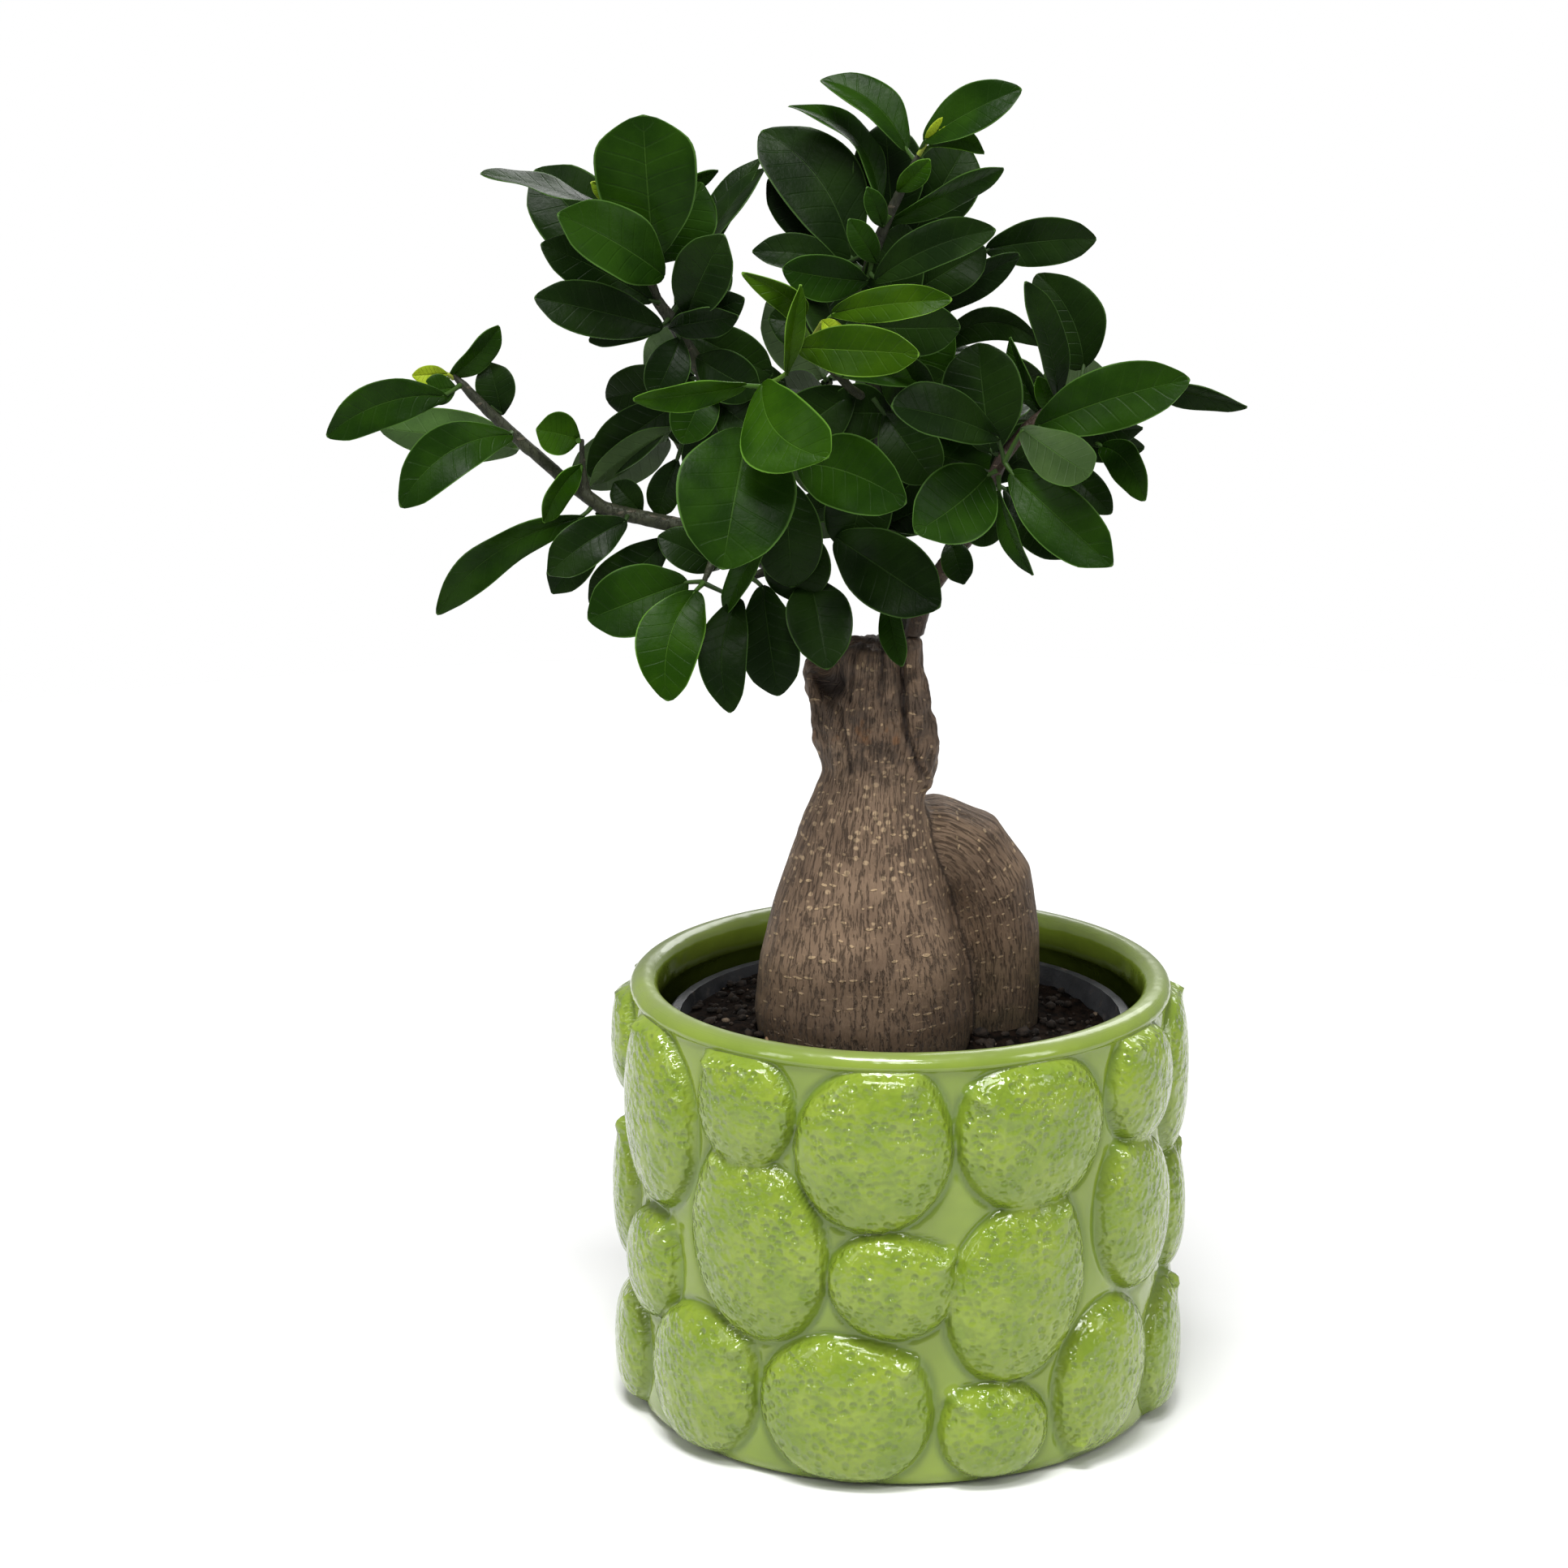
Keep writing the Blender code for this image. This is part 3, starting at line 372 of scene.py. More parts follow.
def leaf_material(name, light, dark, rib, margin, roughness, rib_strength, margin_strength, specular=0.05):
    made, tree, shader = new_material(name, roughness=roughness, specular=specular)
    face = place_group(
        tree,
        LEAF_FACE,
        Blade=add_node(tree, "ShaderNodeUVMap", uv_map="blade").outputs["UV"],
        Place=own_position(tree),
        Light=light,
        Dark=dark,
        Rib=rib,
        Margin=margin,
        Rib_Strength=rib_strength,
        Margin_Strength=margin_strength,
    )
    tree.links.new(face["Colour"], shader.inputs["Base Color"])
    gloss = calculate(tree, "ADD", face["Gloss Change"], roughness, clamp=True)
    tree.links.new(gloss, shader.inputs["Roughness"])
    raise_surface(tree, shader, face["Height"], 0.00022)
    return made


def leaf_pair(name, light, dark, rib, margin, under_light, under_dark):
    """Materials of a leaf's upper face and of its paler, duller underside."""
    return (
        leaf_material(f"{name}_upper", light, dark, rib, margin, 0.34, 0.45, 0.75),
        leaf_material(f"{name}_under", under_light, under_dark, rib, margin, 0.5, 0.7, 0.5, specular=0.12),
    )


# Each age's light and dark upper face, rib, margin (a pale edge that is partly a painted highlight), and
# light and dark underside.
LEAF_COLOURS = {
    "dark": (
        (0.0070, 0.0185, 0.0022), (0.0034, 0.0100, 0.0014), (0.026, 0.055, 0.012),
        (0.040, 0.085, 0.018), (0.026, 0.046, 0.014), (0.015, 0.028, 0.009),
    ),
    "middle": (
        (0.0105, 0.0330, 0.0015), (0.0052, 0.0185, 0.0010), (0.036, 0.082, 0.012),
        (0.055, 0.120, 0.022), (0.034, 0.062, 0.017), (0.020, 0.040, 0.010),
    ),
    "fresh": (
        (0.0165, 0.0500, 0.0010), (0.0080, 0.0290, 0.0006), (0.050, 0.120, 0.012),
        (0.085, 0.190, 0.022), (0.040, 0.085, 0.018), (0.026, 0.058, 0.012),
    ),
    "young": (
        (0.0225, 0.0560, 0.0009), (0.0120, 0.0360, 0.0005), (0.090, 0.180, 0.020),
        (0.130, 0.250, 0.030), (0.070, 0.135, 0.022), (0.045, 0.098, 0.014),
    ),
    "bud": (
        (0.210, 0.280, 0.012), (0.120, 0.200, 0.010), (0.28, 0.34, 0.05),
        (0.28, 0.36, 0.05), (0.21, 0.28, 0.03), (0.15, 0.23, 0.02),
    ),
}
LEAF_SKINS = {age: leaf_pair(f"{age}_leaf", *colours) for age, colours in LEAF_COLOURS.items()}


def make_glaze():
    """Thick yellow-green glaze: darker over the fruit's pores, thin and pale on ridges and the rim's top,
    and painted dark as shade inside and under the pot.
    """
    made, tree, shader = new_material("lime_glaze", 0.1, specular=0.45, coat=0.3, coat_roughness=0.03)
    place = own_position(tree)
    masks = ("fruit", "ridge", "rim", "groove", "inside")
    fruit, ridge, rim, groove, inside = [attribute(tree, mask) for mask in masks]
    wall = cloudy_colours(tree, MOTTLING, place, 28.0, (0.205, 0.280, 0.030), (0.158, 0.228, 0.022))
    skin = cloudy_colours(tree, MOTTLING, place, 120.0, (0.200, 0.275, 0.024), (0.150, 0.225, 0.015))
    colour = blend_colours(tree, fruit, wall, skin)
    pores = add_node(tree, "ShaderNodeTexVoronoi", voronoi_dimensions="3D", feature="F1")
    tree.links.new(place, pores.inputs["Vector"])
    pores.inputs["Scale"].default_value = 500.0
    pit = ramp_between(tree, pores.outputs["Distance"], 0.15, 0.62, 1.0, 0.0)
    patchy = ramp_between(tree, noise_value(tree, place, 150.0, detail=2.0), 0.36, 0.58, 0.2, 1.0)
    pit = product(tree, pit, patchy, fruit)
    colour = tinted(tree, colour, pit, 0.55, (0.100, 0.165, 0.010))
    colour = tinted(tree, colour, ridge, 0.3, (0.32, 0.40, 0.09))
    colour = tinted(tree, colour, groove, 0.6, (0.085, 0.150, 0.014))
    worn = product(tree, rim, ramp_between(tree, noise_value(tree, place, 45.0), 0.3, 0.7, 0.55, 0.95))
    colour = blend_colours(tree, worn, colour, (0.150, 0.190, 0.052))
    # Painted shade: the inside mask darkens the inner wall, the floor and the underside of the pot.
    colour = tinted(tree, colour, inside, 0.85, (0.026, 0.038, 0.005))
    tree.links.new(colour, shader.inputs["Base Color"])
    satin = calculate(tree, "MULTIPLY_ADD", rim, 0.26, 0.09)
    satin = calculate(tree, "MULTIPLY_ADD", noise_value(tree, place, 90.0), 0.06, satin)
    tree.links.new(satin, shader.inputs["Roughness"])
    ripple = product(tree, noise_value(tree, place, 130.0, detail=1.5), 0.6)
    lumps = product(tree, noise_value(tree, place, 330.0, detail=1.0), fruit, 1.2)
    height = calculate(tree, "ADD", calculate(tree, "ADD", ripple, lumps), product(tree, pit, -0.45))
    raise_surface(tree, shader, height, 0.0010)
    return made


def make_plastic():
    """Dull grey film of a nursery pot, with dusty patches."""
    made, tree, shader = new_material("grey_plastic", roughness=0.42)
    place = own_position(tree)
    film = cloudy_colours(tree, MOTTLING, place, 70.0, (0.055, 0.057, 0.062), (0.022, 0.023, 0.026))
    dust = ramp_between(tree, noise_value(tree, place, 260.0, detail=4.0), 0.56, 0.72)
    colour = tinted(tree, film, dust, 0.35, (0.12, 0.09, 0.07))
    tree.links.new(colour, shader.inputs["Base Color"])
    tree.links.new(calculate(tree, "MULTIPLY_ADD", dust, 0.3, 0.36), shader.inputs["Roughness"])
    raise_surface(tree, shader, noise_value(tree, place, 1200.0), 0.0001)
    return made


def make_soil_material():
    """Damp dark peat with a few paler bits."""
    made, tree, shader = new_material("dark_soil", roughness=0.95, specular=0.05)
    place = own_position(tree)
    peat = cloudy_colours(tree, MOTTLING, place, 380.0, (0.012, 0.007, 0.0045), (0.002, 0.0014, 0.001))
    bit = ramp_between(tree, noise_value(tree, place, 900.0, detail=2.0), 0.66, 0.74)
    colour = tinted(tree, peat, bit, 0.4, (0.050, 0.030, 0.018))
    tree.links.new(colour, shader.inputs["Base Color"])
    raise_surface(tree, shader, noise_value(tree, place, 700.0, detail=5.0, roughness=0.7), 0.0012)
    return made


def bark_material(name, light, middle, dark, pore, pore_amount, roughness, depth):
    """Grained bark, with its tree, shader and group's outputs to add to."""
    made, tree, shader = new_material(name, roughness=roughness, specular=0.35)
    grained = place_group(
        tree,
        GRAINED_BARK,
        Grain=attribute(tree, "grain", "Vector"),
        Unrolled=attribute(tree, "unrolled", "Vector"),
        Place=own_position(tree),
        Light=light,
        Middle=middle,
        Dark=dark,
        Pore=pore,
        Pore_Amount=pore_amount,
    )
    tree.links.new(grained["Colour"], shader.inputs["Base Color"])
    raise_surface(tree, shader, grained["Height"], depth)
    return made, tree, shader, grained


def make_root_bark():
    """Root bark with pale spots at the neck, scabs on the graft, moss and darker bark near the soil, a dark
    cut top, cracks that are partly dark and partly painted shade, and painted shade in the hollow and the
    seam.
    """
    made, tree, shader, grained = bark_material(
        "grey_brown_bark",
        light=(0.200, 0.132, 0.082),
        middle=(0.112, 0.070, 0.042),
        dark=(0.026, 0.014, 0.009),
        pore=(0.44, 0.31, 0.18),
        pore_amount=0.46,
        roughness=0.56,
        depth=0.0007,
    )
    scar_and_shade = attribute(tree, "scar_and_shade")
    moss = attribute(tree, "moss")
    graft = attribute(tree, "graft")
    place = own_position(tree)
    spots = add_node(tree, "ShaderNodeTexVoronoi", voronoi_dimensions="3D")
    tree.links.new(stretched(tree, place, (1.0, 1.0, 1.35)), spots.inputs["Vector"])
    spots.inputs["Scale"].default_value = 430.0
    spot_chance = add_node(tree, "ShaderNodeSeparateColor")
    tree.links.new(spots.outputs["Color"], spot_chance.inputs[0])
    spot = ramp_between(tree, spots.outputs["Distance"], 0.26, 0.42, 1.0, 0.0)
    neck = attribute(tree, "neck")
    few = calculate(tree, "LESS_THAN", spot_chance.outputs["Red"], product(tree, neck, 0.62))
    spot = product(tree, spot, few)
    colour = tinted(tree, grained["Colour"], spot, 0.75, (0.42, 0.30, 0.18))
    scabs = ramp_between(tree, noise_value(tree, place, 240.0, detail=4.0), 0.44, 0.60)
    colour = tinted(tree, colour, product(tree, graft, scabs), 0.65, (0.040, 0.026, 0.017))
    rust = ramp_between(tree, noise_value(tree, place, 120.0, detail=3.0), 0.62, 0.70)
    rust = product(tree, graft, rust, 0.55)
    colour = blend_colours(tree, rust, colour, (0.24, 0.11, 0.04))
    colour = tinted(tree, colour, moss, 0.42, (0.085, 0.085, 0.030))
    # The bark grows darker towards the soil.
    darker_near_soil = attribute(tree, "darker_near_soil")
    colour = tinted(tree, colour, darker_near_soil, 0.72, (0.022, 0.014, 0.009))
    # The cut top and the cracks are painted dark, partly as their own colour and partly as painted shade;
    # the hollow and the seam are painted shade.
    colour = tinted(tree, colour, scar_and_shade, 0.9, (0.016, 0.010, 0.008))
    tree.links.new(colour, shader.inputs["Base Color"])
    return made


LIME_GLAZE = make_glaze()
GREY_PLASTIC = make_plastic()
DARK_SOIL = make_soil_material()
ROOT_BARK = make_root_bark()
# The twigs' dark green-brown is darkened further: partly their own colour, partly painted shade from inside
# the crown.
TWIG_BARK = bark_material(
    "twig_bark",
    light=(0.022, 0.026, 0.009),
    middle=(0.011, 0.013, 0.005),
    dark=(0.005, 0.004, 0.002),
    pore=(0.055, 0.046, 0.028),
    pore_amount=0.35,
    roughness=0.6,
    depth=0.0002,
)[0]
RED_TWIG = bark_material(
    "red_brown_twig",
    light=(0.045, 0.026, 0.013),
    middle=(0.022, 0.012, 0.007),
    dark=(0.008, 0.004, 0.002),
    pore=(0.08, 0.055, 0.034),
    pore_amount=0.35,
    roughness=0.6,
    depth=0.0002,
)[0]


def make_crumb_material(name, light, dark):
    made, tree, shader = new_material(name, roughness=0.9, specular=0.25)
    place = own_position(tree)
    tree.links.new(cloudy_colours(tree, MOTTLING, place, 420.0, light, dark), shader.inputs["Base Color"])
    raise_surface(tree, shader, noise_value(tree, place, 1500.0, detail=4.0), 0.0004)
    return made


CRUMBS_DARK = make_crumb_material("peat_crumbs", (0.022, 0.014, 0.009), (0.005, 0.0035, 0.0025))
CRUMBS_PALE = make_crumb_material("pale_crumbs", (0.15, 0.11, 0.075), (0.07, 0.048, 0.03))
STRAW = make_crumb_material("straw", (0.30, 0.19, 0.10), (0.13, 0.075, 0.04))

# -------------------------------------------------------------------------------------------- mesh helpers


def new_object(name, points, faces, materials, smooth=True):
    mesh = bpy.data.meshes.new(name)
    mesh.from_pydata([tuple(point) for point in points], [], [tuple(face) for face in faces])
    mesh.update()
    for made_of in materials:
        mesh.materials.append(made_of)
    if smooth:
        mesh.shade_smooth()
    made = bpy.data.objects.new(name, mesh)
    bpy.context.scene.collection.objects.link(made)
    return made


def set_attribute(mesh, name, values):
    layer = mesh.attributes.new(name, "FLOAT", "POINT")
    layer.data.foreach_set("value", np.asarray(values, np.float32))


def set_vectors(mesh, name, values):
    layer = mesh.attributes.new(name, "FLOAT_VECTOR", "POINT")
    layer.data.foreach_set("vector", np.asarray(values, np.float32).reshape(-1))


def points_of(mesh):
    points = np.empty(len(mesh.vertices) * 3, np.float32)
    mesh.vertices.foreach_get("co", points)
    return points.reshape(-1, 3).astype(float)


def normals_of(mesh):
    normals = np.empty(len(mesh.vertices) * 3, np.float32)
    mesh.vertices.foreach_get("normal", normals)
    return normals.reshape(-1, 3).astype(float)


def move_points(mesh, points):
    mesh.vertices.foreach_set("co", np.asarray(points, np.float32).reshape(-1))
    mesh.update()


def with_modifiers_applied(shown):
    """Replaces an object's mesh by its evaluated one and removes its modifiers."""
    graph = bpy.context.evaluated_depsgraph_get()
    mesh = bpy.data.meshes.new_from_object(shown.evaluated_get(graph))
    shown.modifiers.clear()
    shown.data = mesh
    return shown


# The size of the squares that the skins of the rootstock and of the shoots are made of.
ROOT_SQUARE = 0.78 * MM
TWIG_SQUARE = 0.42 * MM


def refined_copy(node, name, voxel, smoothing):
    """A copy of a CAD node's mesh under a fine, soft skin of squares."""
    made = bpy.data.objects.new(name, node.data.copy())
    bpy.context.scene.collection.objects.link(made)
    skin = made.modifiers.new("fine_skin", "REMESH")
    skin.mode = "VOXEL"
    skin.voxel_size = voxel
    soften = made.modifiers.new("soften", "SMOOTH")
    soften.factor = 0.5
    soften.iterations = smoothing
    with_modifiers_applied(made)
    made.data.materials.clear()
    made.data.shade_smooth()
    return made


def wavy(points, scale, seed):
    """Smooth noise from -1 to 1 at each point, for a pattern about scale metres across."""
    shift = Vector((seed * 7.3, seed * 3.1, seed * 5.7))
    return np.array([noise.noise(Vector(point) / scale + shift) for point in points])


# ------------------------------------------------------------------------------------------------- pot

POT_RADIUS = 70.0
POT_HEIGHT = 115.0
MOUTH_RADIUS = 62.7
LIP_DEPTH = 9.0
WALL = 4.6
POT_FLOOR = 5.0
WAIST_INSET = 1.3
POT_SIDES = 560
EDGE_ROUND = 4.5
RELIEF_RISE = 6.0

# One lime a row: turn from the front in degrees, height of its middle, half width, half height, lean in
# degrees (anticlockwise as seen), and where its nipple points, in degrees from straight up (clockwise).
LIMES = [
    (-92, 96.5, 16, 15.5, 0, 10),
    (-63, 87, 19, 24, 8, -15),
    (-34, 97, 14.5, 15.5, -20, -40),
    (-5.5, 90, 20.5, 21.5, -12, 28),
    (29.5, 92.2, 21.5, 19.8, 20, -55),
    (62, 96.5, 16, 15.5, 10, -35),
    (90, 89.5, 18, 22, 0, 20),
    (-90, 56, 16, 20, 0, 15),
    (-65, 46, 14, 15, 0, 40),
    (-31.5, 61, 20.5, 24.5, 12, -25),
    (-1.5, 54.5, 16.5, 14, -15, 62),
    (26, 51, 19.5, 24, -15, 30),
    (61, 62.5, 18, 21, 14, -30),
    (90, 52, 14, 17, 0, 10),
    (-82, 17, 16, 17, 0, 30),
    (-47, 21, 20, 20, 15, 50),
    (-11.5, 20.5, 23, 20, -14, 52),
    (21, 14.5, 15, 13, 5, -48),
    (49.5, 23, 17.5, 20, -22, -145),
    (79, 17, 17, 18, 0, 20),
    (122, 97, 20, 17, -18, 40),
    (156, 88, 20, 23, 10, -20),
    (191, 97, 18, 17, 15, 50),
    (224, 88, 19, 22, -10, -30),
    (248, 98, 13, 15, 8, 15),
    (114, 62, 18, 18, 12, -40),
    (138, 47, 15, 18, -15, 20),
    (172, 48, 19, 17, 8, 60),
    (204, 54, 18, 21, -12, -20),
    (238, 55, 17, 15, 20, 35),
    (108, 22, 17, 19, -8, 15),
    (140, 17, 18, 14.5, 12, -55),
    (174, 17, 17, 14, -5, 45),
    (206, 21, 16, 18, 14, -15),
    (240, 22, 19, 19, -16, 30),
]


def lime_relief(turns, heights):
    """Rise of the relief over the wall in millimetres, and masks of fruit, ridge and groove, on a grid."""
    around, above = np.meshgrid(turns, heights, indexing="ij")
    rise = np.zeros_like(around)
    fruit = np.zeros_like(around)
    ridge = np.zeros_like(around)
    groove = np.zeros_like(around)
    for turned_by, middle, half_width, half_height, lean, nipple in LIMES:
        x = np.remainder(around - math.radians(turned_by) + math.pi, 2.0 * math.pi) - math.pi
        x = x * POT_RADIUS
        z = above - middle
        lean = math.radians(lean)
        across = (x * math.cos(lean) + z * math.sin(lean)) / half_width
        along = (-x * math.sin(lean) + z * math.cos(lean)) / half_height
        reach = np.sqrt(across**2 + along**2)
        # A slight egg shape that draws out towards the nipple.
        nipple = math.radians(nipple)
        toward_x, toward_z = math.sin(nipple), math.cos(nipple)
        length = np.sqrt(x**2 + z**2) + 1e-6
        facing = np.clip((x * toward_x + z * toward_z) / length, -1.0, 1.0)
        beak = np.exp(-((np.arccos(facing) / 0.42) ** 2))
        reach = reach * (1.0 - 0.10 * beak + 0.02 * (1.0 - facing**2))
        dome = RELIEF_RISE * np.clip(1.0 - reach**2.4, 0.0, 1.0) ** 0.5
        # The nipple: a short ridge that stands at the fruit's end.
        end = 0.98 / math.hypot(
            (toward_x * math.cos(lean) + toward_z * math.sin(lean)) / half_width,
            (-toward_x * math.sin(lean) + toward_z * math.cos(lean)) / half_height,
        )
        from_end = (x - end * toward_x) * toward_x + (z - end * toward_z) * toward_z
        aside = -(x - end * toward_x) * toward_z + (z - end * toward_z) * toward_x
        stub = 4.4 * np.exp(-(np.abs(from_end / 3.1) ** 3)) * np.exp(-((aside / 1.9) ** 2))
        shape = np.maximum(dome, stub) + 0.25 * np.minimum(dome, stub)
        shape = np.minimum(shape, RELIEF_RISE)
        higher = shape > rise
        rise = np.where(higher, shape, rise)
        inside = np.clip((1.0 - reach) / 0.06, 0.0, 1.0)
        fruit = np.maximum(fruit, inside)
        ring = np.exp(-(((reach - 1.045) * 0.5 * (half_width + half_height) / 0.9) ** 2))
        groove = np.maximum(groove, ring)
        ridge = np.maximum(ridge, np.exp(-((from_end / 3.0) ** 2) - (aside / 1.6) ** 2))
    groove = groove * (1.0 - fruit)
    return rise - 0.55 * groove * np.clip(1.0 - rise, 0.0, 1.0), fruit, ridge, groove


def pot_profile():
    """Rings of the pot from its foot round to its floor.

    Each is (radius, height, share of relief, rim mask, inside mask), and the inside mask is painted shade
    inside the mouth and under the pot.
    """
    wall_radius = POT_RADIUS - WAIST_INSET
    inner_radius = wall_radius - WALL
    rim_half = 0.5 * (POT_RADIUS - MOUTH_RADIUS)
    rim_middle = MOUTH_RADIUS + rim_half
    # The last number of each ring paints shade into the glaze: under the pot here, and inside the mouth
    # further on.
    rings = [(30.0, 0.0, 0.0, 0.0, 1.0), (wall_radius - EDGE_ROUND, 0.0, 0.0, 0.0, 0.3)]
    for angle in (20, 40, 60, 80):
        angle = math.radians(angle)
        radius = wall_radius - EDGE_ROUND + EDGE_ROUND * math.sin(angle)
        height = EDGE_ROUND - EDGE_ROUND * math.cos(angle)
        rings.append((radius, height, min(1.0, (height + 2.0) / 6.0) if height > 1.0 else 0.15, 0.0, 0.0))
    low, high, count = EDGE_ROUND, POT_HEIGHT - 4.6, 132
    for level in range(count):
        share = level / (count - 1)
        height = low + share * (high - low)
        band = min(1.0, max(0.0, (POT_HEIGHT - 3.6 - height) / 2.4)) * min(1.0, (height + 2.0) / 6.0)
        rings.append((wall_radius + 0.5 * share, height, band, 0.0, 0.0))
    # A smooth band with a fine bead under the thick round lip.
    rings.append((POT_RADIUS - 0.7, POT_HEIGHT - 4.2, 0.25, 0.0, 0.0))
    rings.append((POT_RADIUS - 0.3, POT_HEIGHT - 3.9, 0.0, 0.2, 0.0))
    for angle in range(0, 181, 12):
        top = max(0.0, math.sin(math.radians(angle)))
        radius = rim_middle + rim_half * math.cos(math.radians(angle))
        rings.append((radius, POT_HEIGHT - 3.6 + 3.6 * top**0.9, 0.0, top**2, 0.0))
    rings += [
        (MOUTH_RADIUS - 0.1, POT_HEIGHT - 6.0, 0.0, 0.1, 0.35),
        (MOUTH_RADIUS, POT_HEIGHT - LIP_DEPTH + 0.6, 0.0, 0.0, 0.7),
        (MOUTH_RADIUS + 0.3, POT_HEIGHT - LIP_DEPTH, 0.0, 0.0, 1.0),
        (inner_radius, POT_HEIGHT - LIP_DEPTH - 2.5, 0.0, 0.0, 1.0),
        (inner_radius, 60.0, 0.0, 0.0, 1.0),
        (inner_radius, POT_FLOOR + 7.0, 0.0, 0.0, 1.0),
        (inner_radius - 2.0, POT_FLOOR + 2.0, 0.0, 0.0, 1.0),
        (inner_radius - 7.0, POT_FLOOR, 0.0, 0.0, 1.0),
        (20.0, POT_FLOOR, 0.0, 0.0, 1.0),
    ]
    return rings


def build_pot():
    """The cover pot as rings of points round its axis, with the limes raised on its wall."""
    rings = pot_profile()
    side_count = POT_SIDES
    turns = np.arange(side_count) * 2.0 * math.pi / side_count
    heights = np.array([ring[1] for ring in rings])
    rise, fruit, ridge, groove = lime_relief(turns, heights)
    share = np.array([ring[2] for ring in rings])
    radius = np.array([ring[0] for ring in rings])[None, :] + rise * share[None, :]
    x = radius * np.sin(turns)[:, None]
    y = -radius * np.cos(turns)[:, None]
    z = np.broadcast_to(heights[None, :], x.shape)
    points = np.stack([x, y, z], axis=-1).transpose(1, 0, 2).reshape(-1, 3) * MM
    ring_count = len(rings)
    index = np.arange(ring_count * side_count).reshape(ring_count, side_count)
    low, high = index[:-1], index[1:]
    low_next, high_next = np.roll(low, -1, axis=1), np.roll(high, -1, axis=1)
    faces = np.stack([low, low_next, high_next, high], axis=-1).reshape(-1, 4).tolist()
    faces.append(list(range(side_count))[::-1])
    faces.append(list(range((ring_count - 1) * side_count, ring_count * side_count)))
    pot = new_object("ceramic_pot_glazed", points, faces, [LIME_GLAZE])
    fade = share[:, None]
    for mask_name, mask in (("fruit", fruit), ("ridge", ridge), ("groove", groove)):
        set_attribute(pot.data, mask_name, (mask.T * fade).reshape(-1))
    # The inside mask carries the painted shade.
    for mask_name, column in (("rim", 3), ("inside", 4)):
        set_attribute(pot.data, mask_name, np.repeat([ring[column] for ring in rings], side_count))
    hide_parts("ceramic_pot")
    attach(pot, BODY)
    return pot


# -------------------------------------------------------------------------------------------- rootstock

# Middle lines that the bark's grain follows, in millimetres: x, y, height, radius.
TRUNK_LINE = [
    (-9, -8, 80, 22), (-9.7, -8, 108, 28), (-10.4, -7, 137, 22),
    (-9.3, -5, 160, 15.5), (-7.6, -2, 179, 13.2), (-6.6, -1.4, 204, 9),
]
ARCH_LINE = [
    (-4, 3, 147, 10.6), (8, 6, 148.7, 12.9), (15, 9, 144.6, 13.6), (20.4, 10.5, 136.6, 13.9),
    (22.4, 11, 124, 13.8), (22.6, 11, 110, 14), (22.6, 11, 98, 13.6), (22, 11, 81, 9),
]
# Cracks down the front and side of the graft: x, height.
GRAFT_CRACK = [(-0.5, 205), (0, 197), (0.3, 190), (1, 182), (4, 174), (7, 169)]
SIDE_CRACKS = [
    [(-12, 205), (-12.6, 198), (-13.5, 190)],
    [(-5.5, 205), (-5, 199), (-5.8, 192)],
    [(-16, 188), (-14, 180), (-13, 172)],
]


def softened(line, count):
    """A line's rows, resampled along a smooth curve."""
    line = np.array(line, float)
    travelled = np.concatenate([[0.0], np.cumsum(np.linalg.norm(np.diff(line[:, :3], axis=0), axis=1))])
    wanted = np.linspace(0.0, travelled[-1], count)
    return np.stack([smooth_curve(travelled, line[:, column], wanted) for column in range(4)], axis=1)


def grain_about(points, line, shift):
    """How far points lie from a line, over its radius, and coordinates that follow it.

    The first coordinates go round the line and along it, whole, for noise. The second are unrolled, for
    rows. All are in millimetres, and they blend smoothly from one stretch of the line to the next.
    """
    rows = softened(line, 56)
    travelled = np.concatenate([[0.0], np.cumsum(np.linalg.norm(np.diff(rows[:, :3], axis=0), axis=1))])
    directions = np.gradient(rows[:, :3], travelled, axis=0)
    total = np.zeros(len(points))
    nearest = np.full(len(points), 1e9)
    for row in rows:
        nearest = np.minimum(nearest, np.linalg.norm(points - row[:3], axis=1))
    blended = np.zeros((len(points), 8))
    for row, direction, length in zip(rows, directions, travelled):
        distance = np.linalg.norm(points - row[:3], axis=1)
        weight = np.exp(-(distance**2 - nearest**2) / 110.0)
        total += weight
        blended += weight[:, None] * np.concatenate([row, direction, [length]])[None, :]
    blended /= total[:, None]
    offset = points - blended[:, :3]
    direction = blended[:, 4:7] / np.linalg.norm(blended[:, 4:7], axis=1)[:, None]
    first = np.cross((0.0, 1.0, 0.0), direction)
    first /= np.linalg.norm(first, axis=1)[:, None]
    second = np.cross(direction, first)
    angle = np.arctan2((offset * first).sum(axis=1), (offset * second).sum(axis=1))
    length = blended[:, 7] + shift
    around = 20.0 * angle
    grain = np.stack([20.0 * np.sin(angle), 20.0 * np.cos(angle) + shift, length], axis=1)
    return nearest / blended[:, 3], grain, np.stack([around, length, np.zeros(len(points))], axis=1)


def distance_to_drawn(points, line):
    """Distance in millimetres from points to a line drawn on the front (x, height)."""
    best = np.full(len(points), 1e9)
    flat = points[:, [0, 2]]
    for start, end in zip(line[:-1], line[1:]):
        start, end = np.array(start, float), np.array(end, float)
        step = end - start
        share = np.clip((flat - start) @ step / (step @ step), 0.0, 1.0)
        best = np.minimum(best, np.linalg.norm(flat - (start + share[:, None] * step), axis=1))
    return best


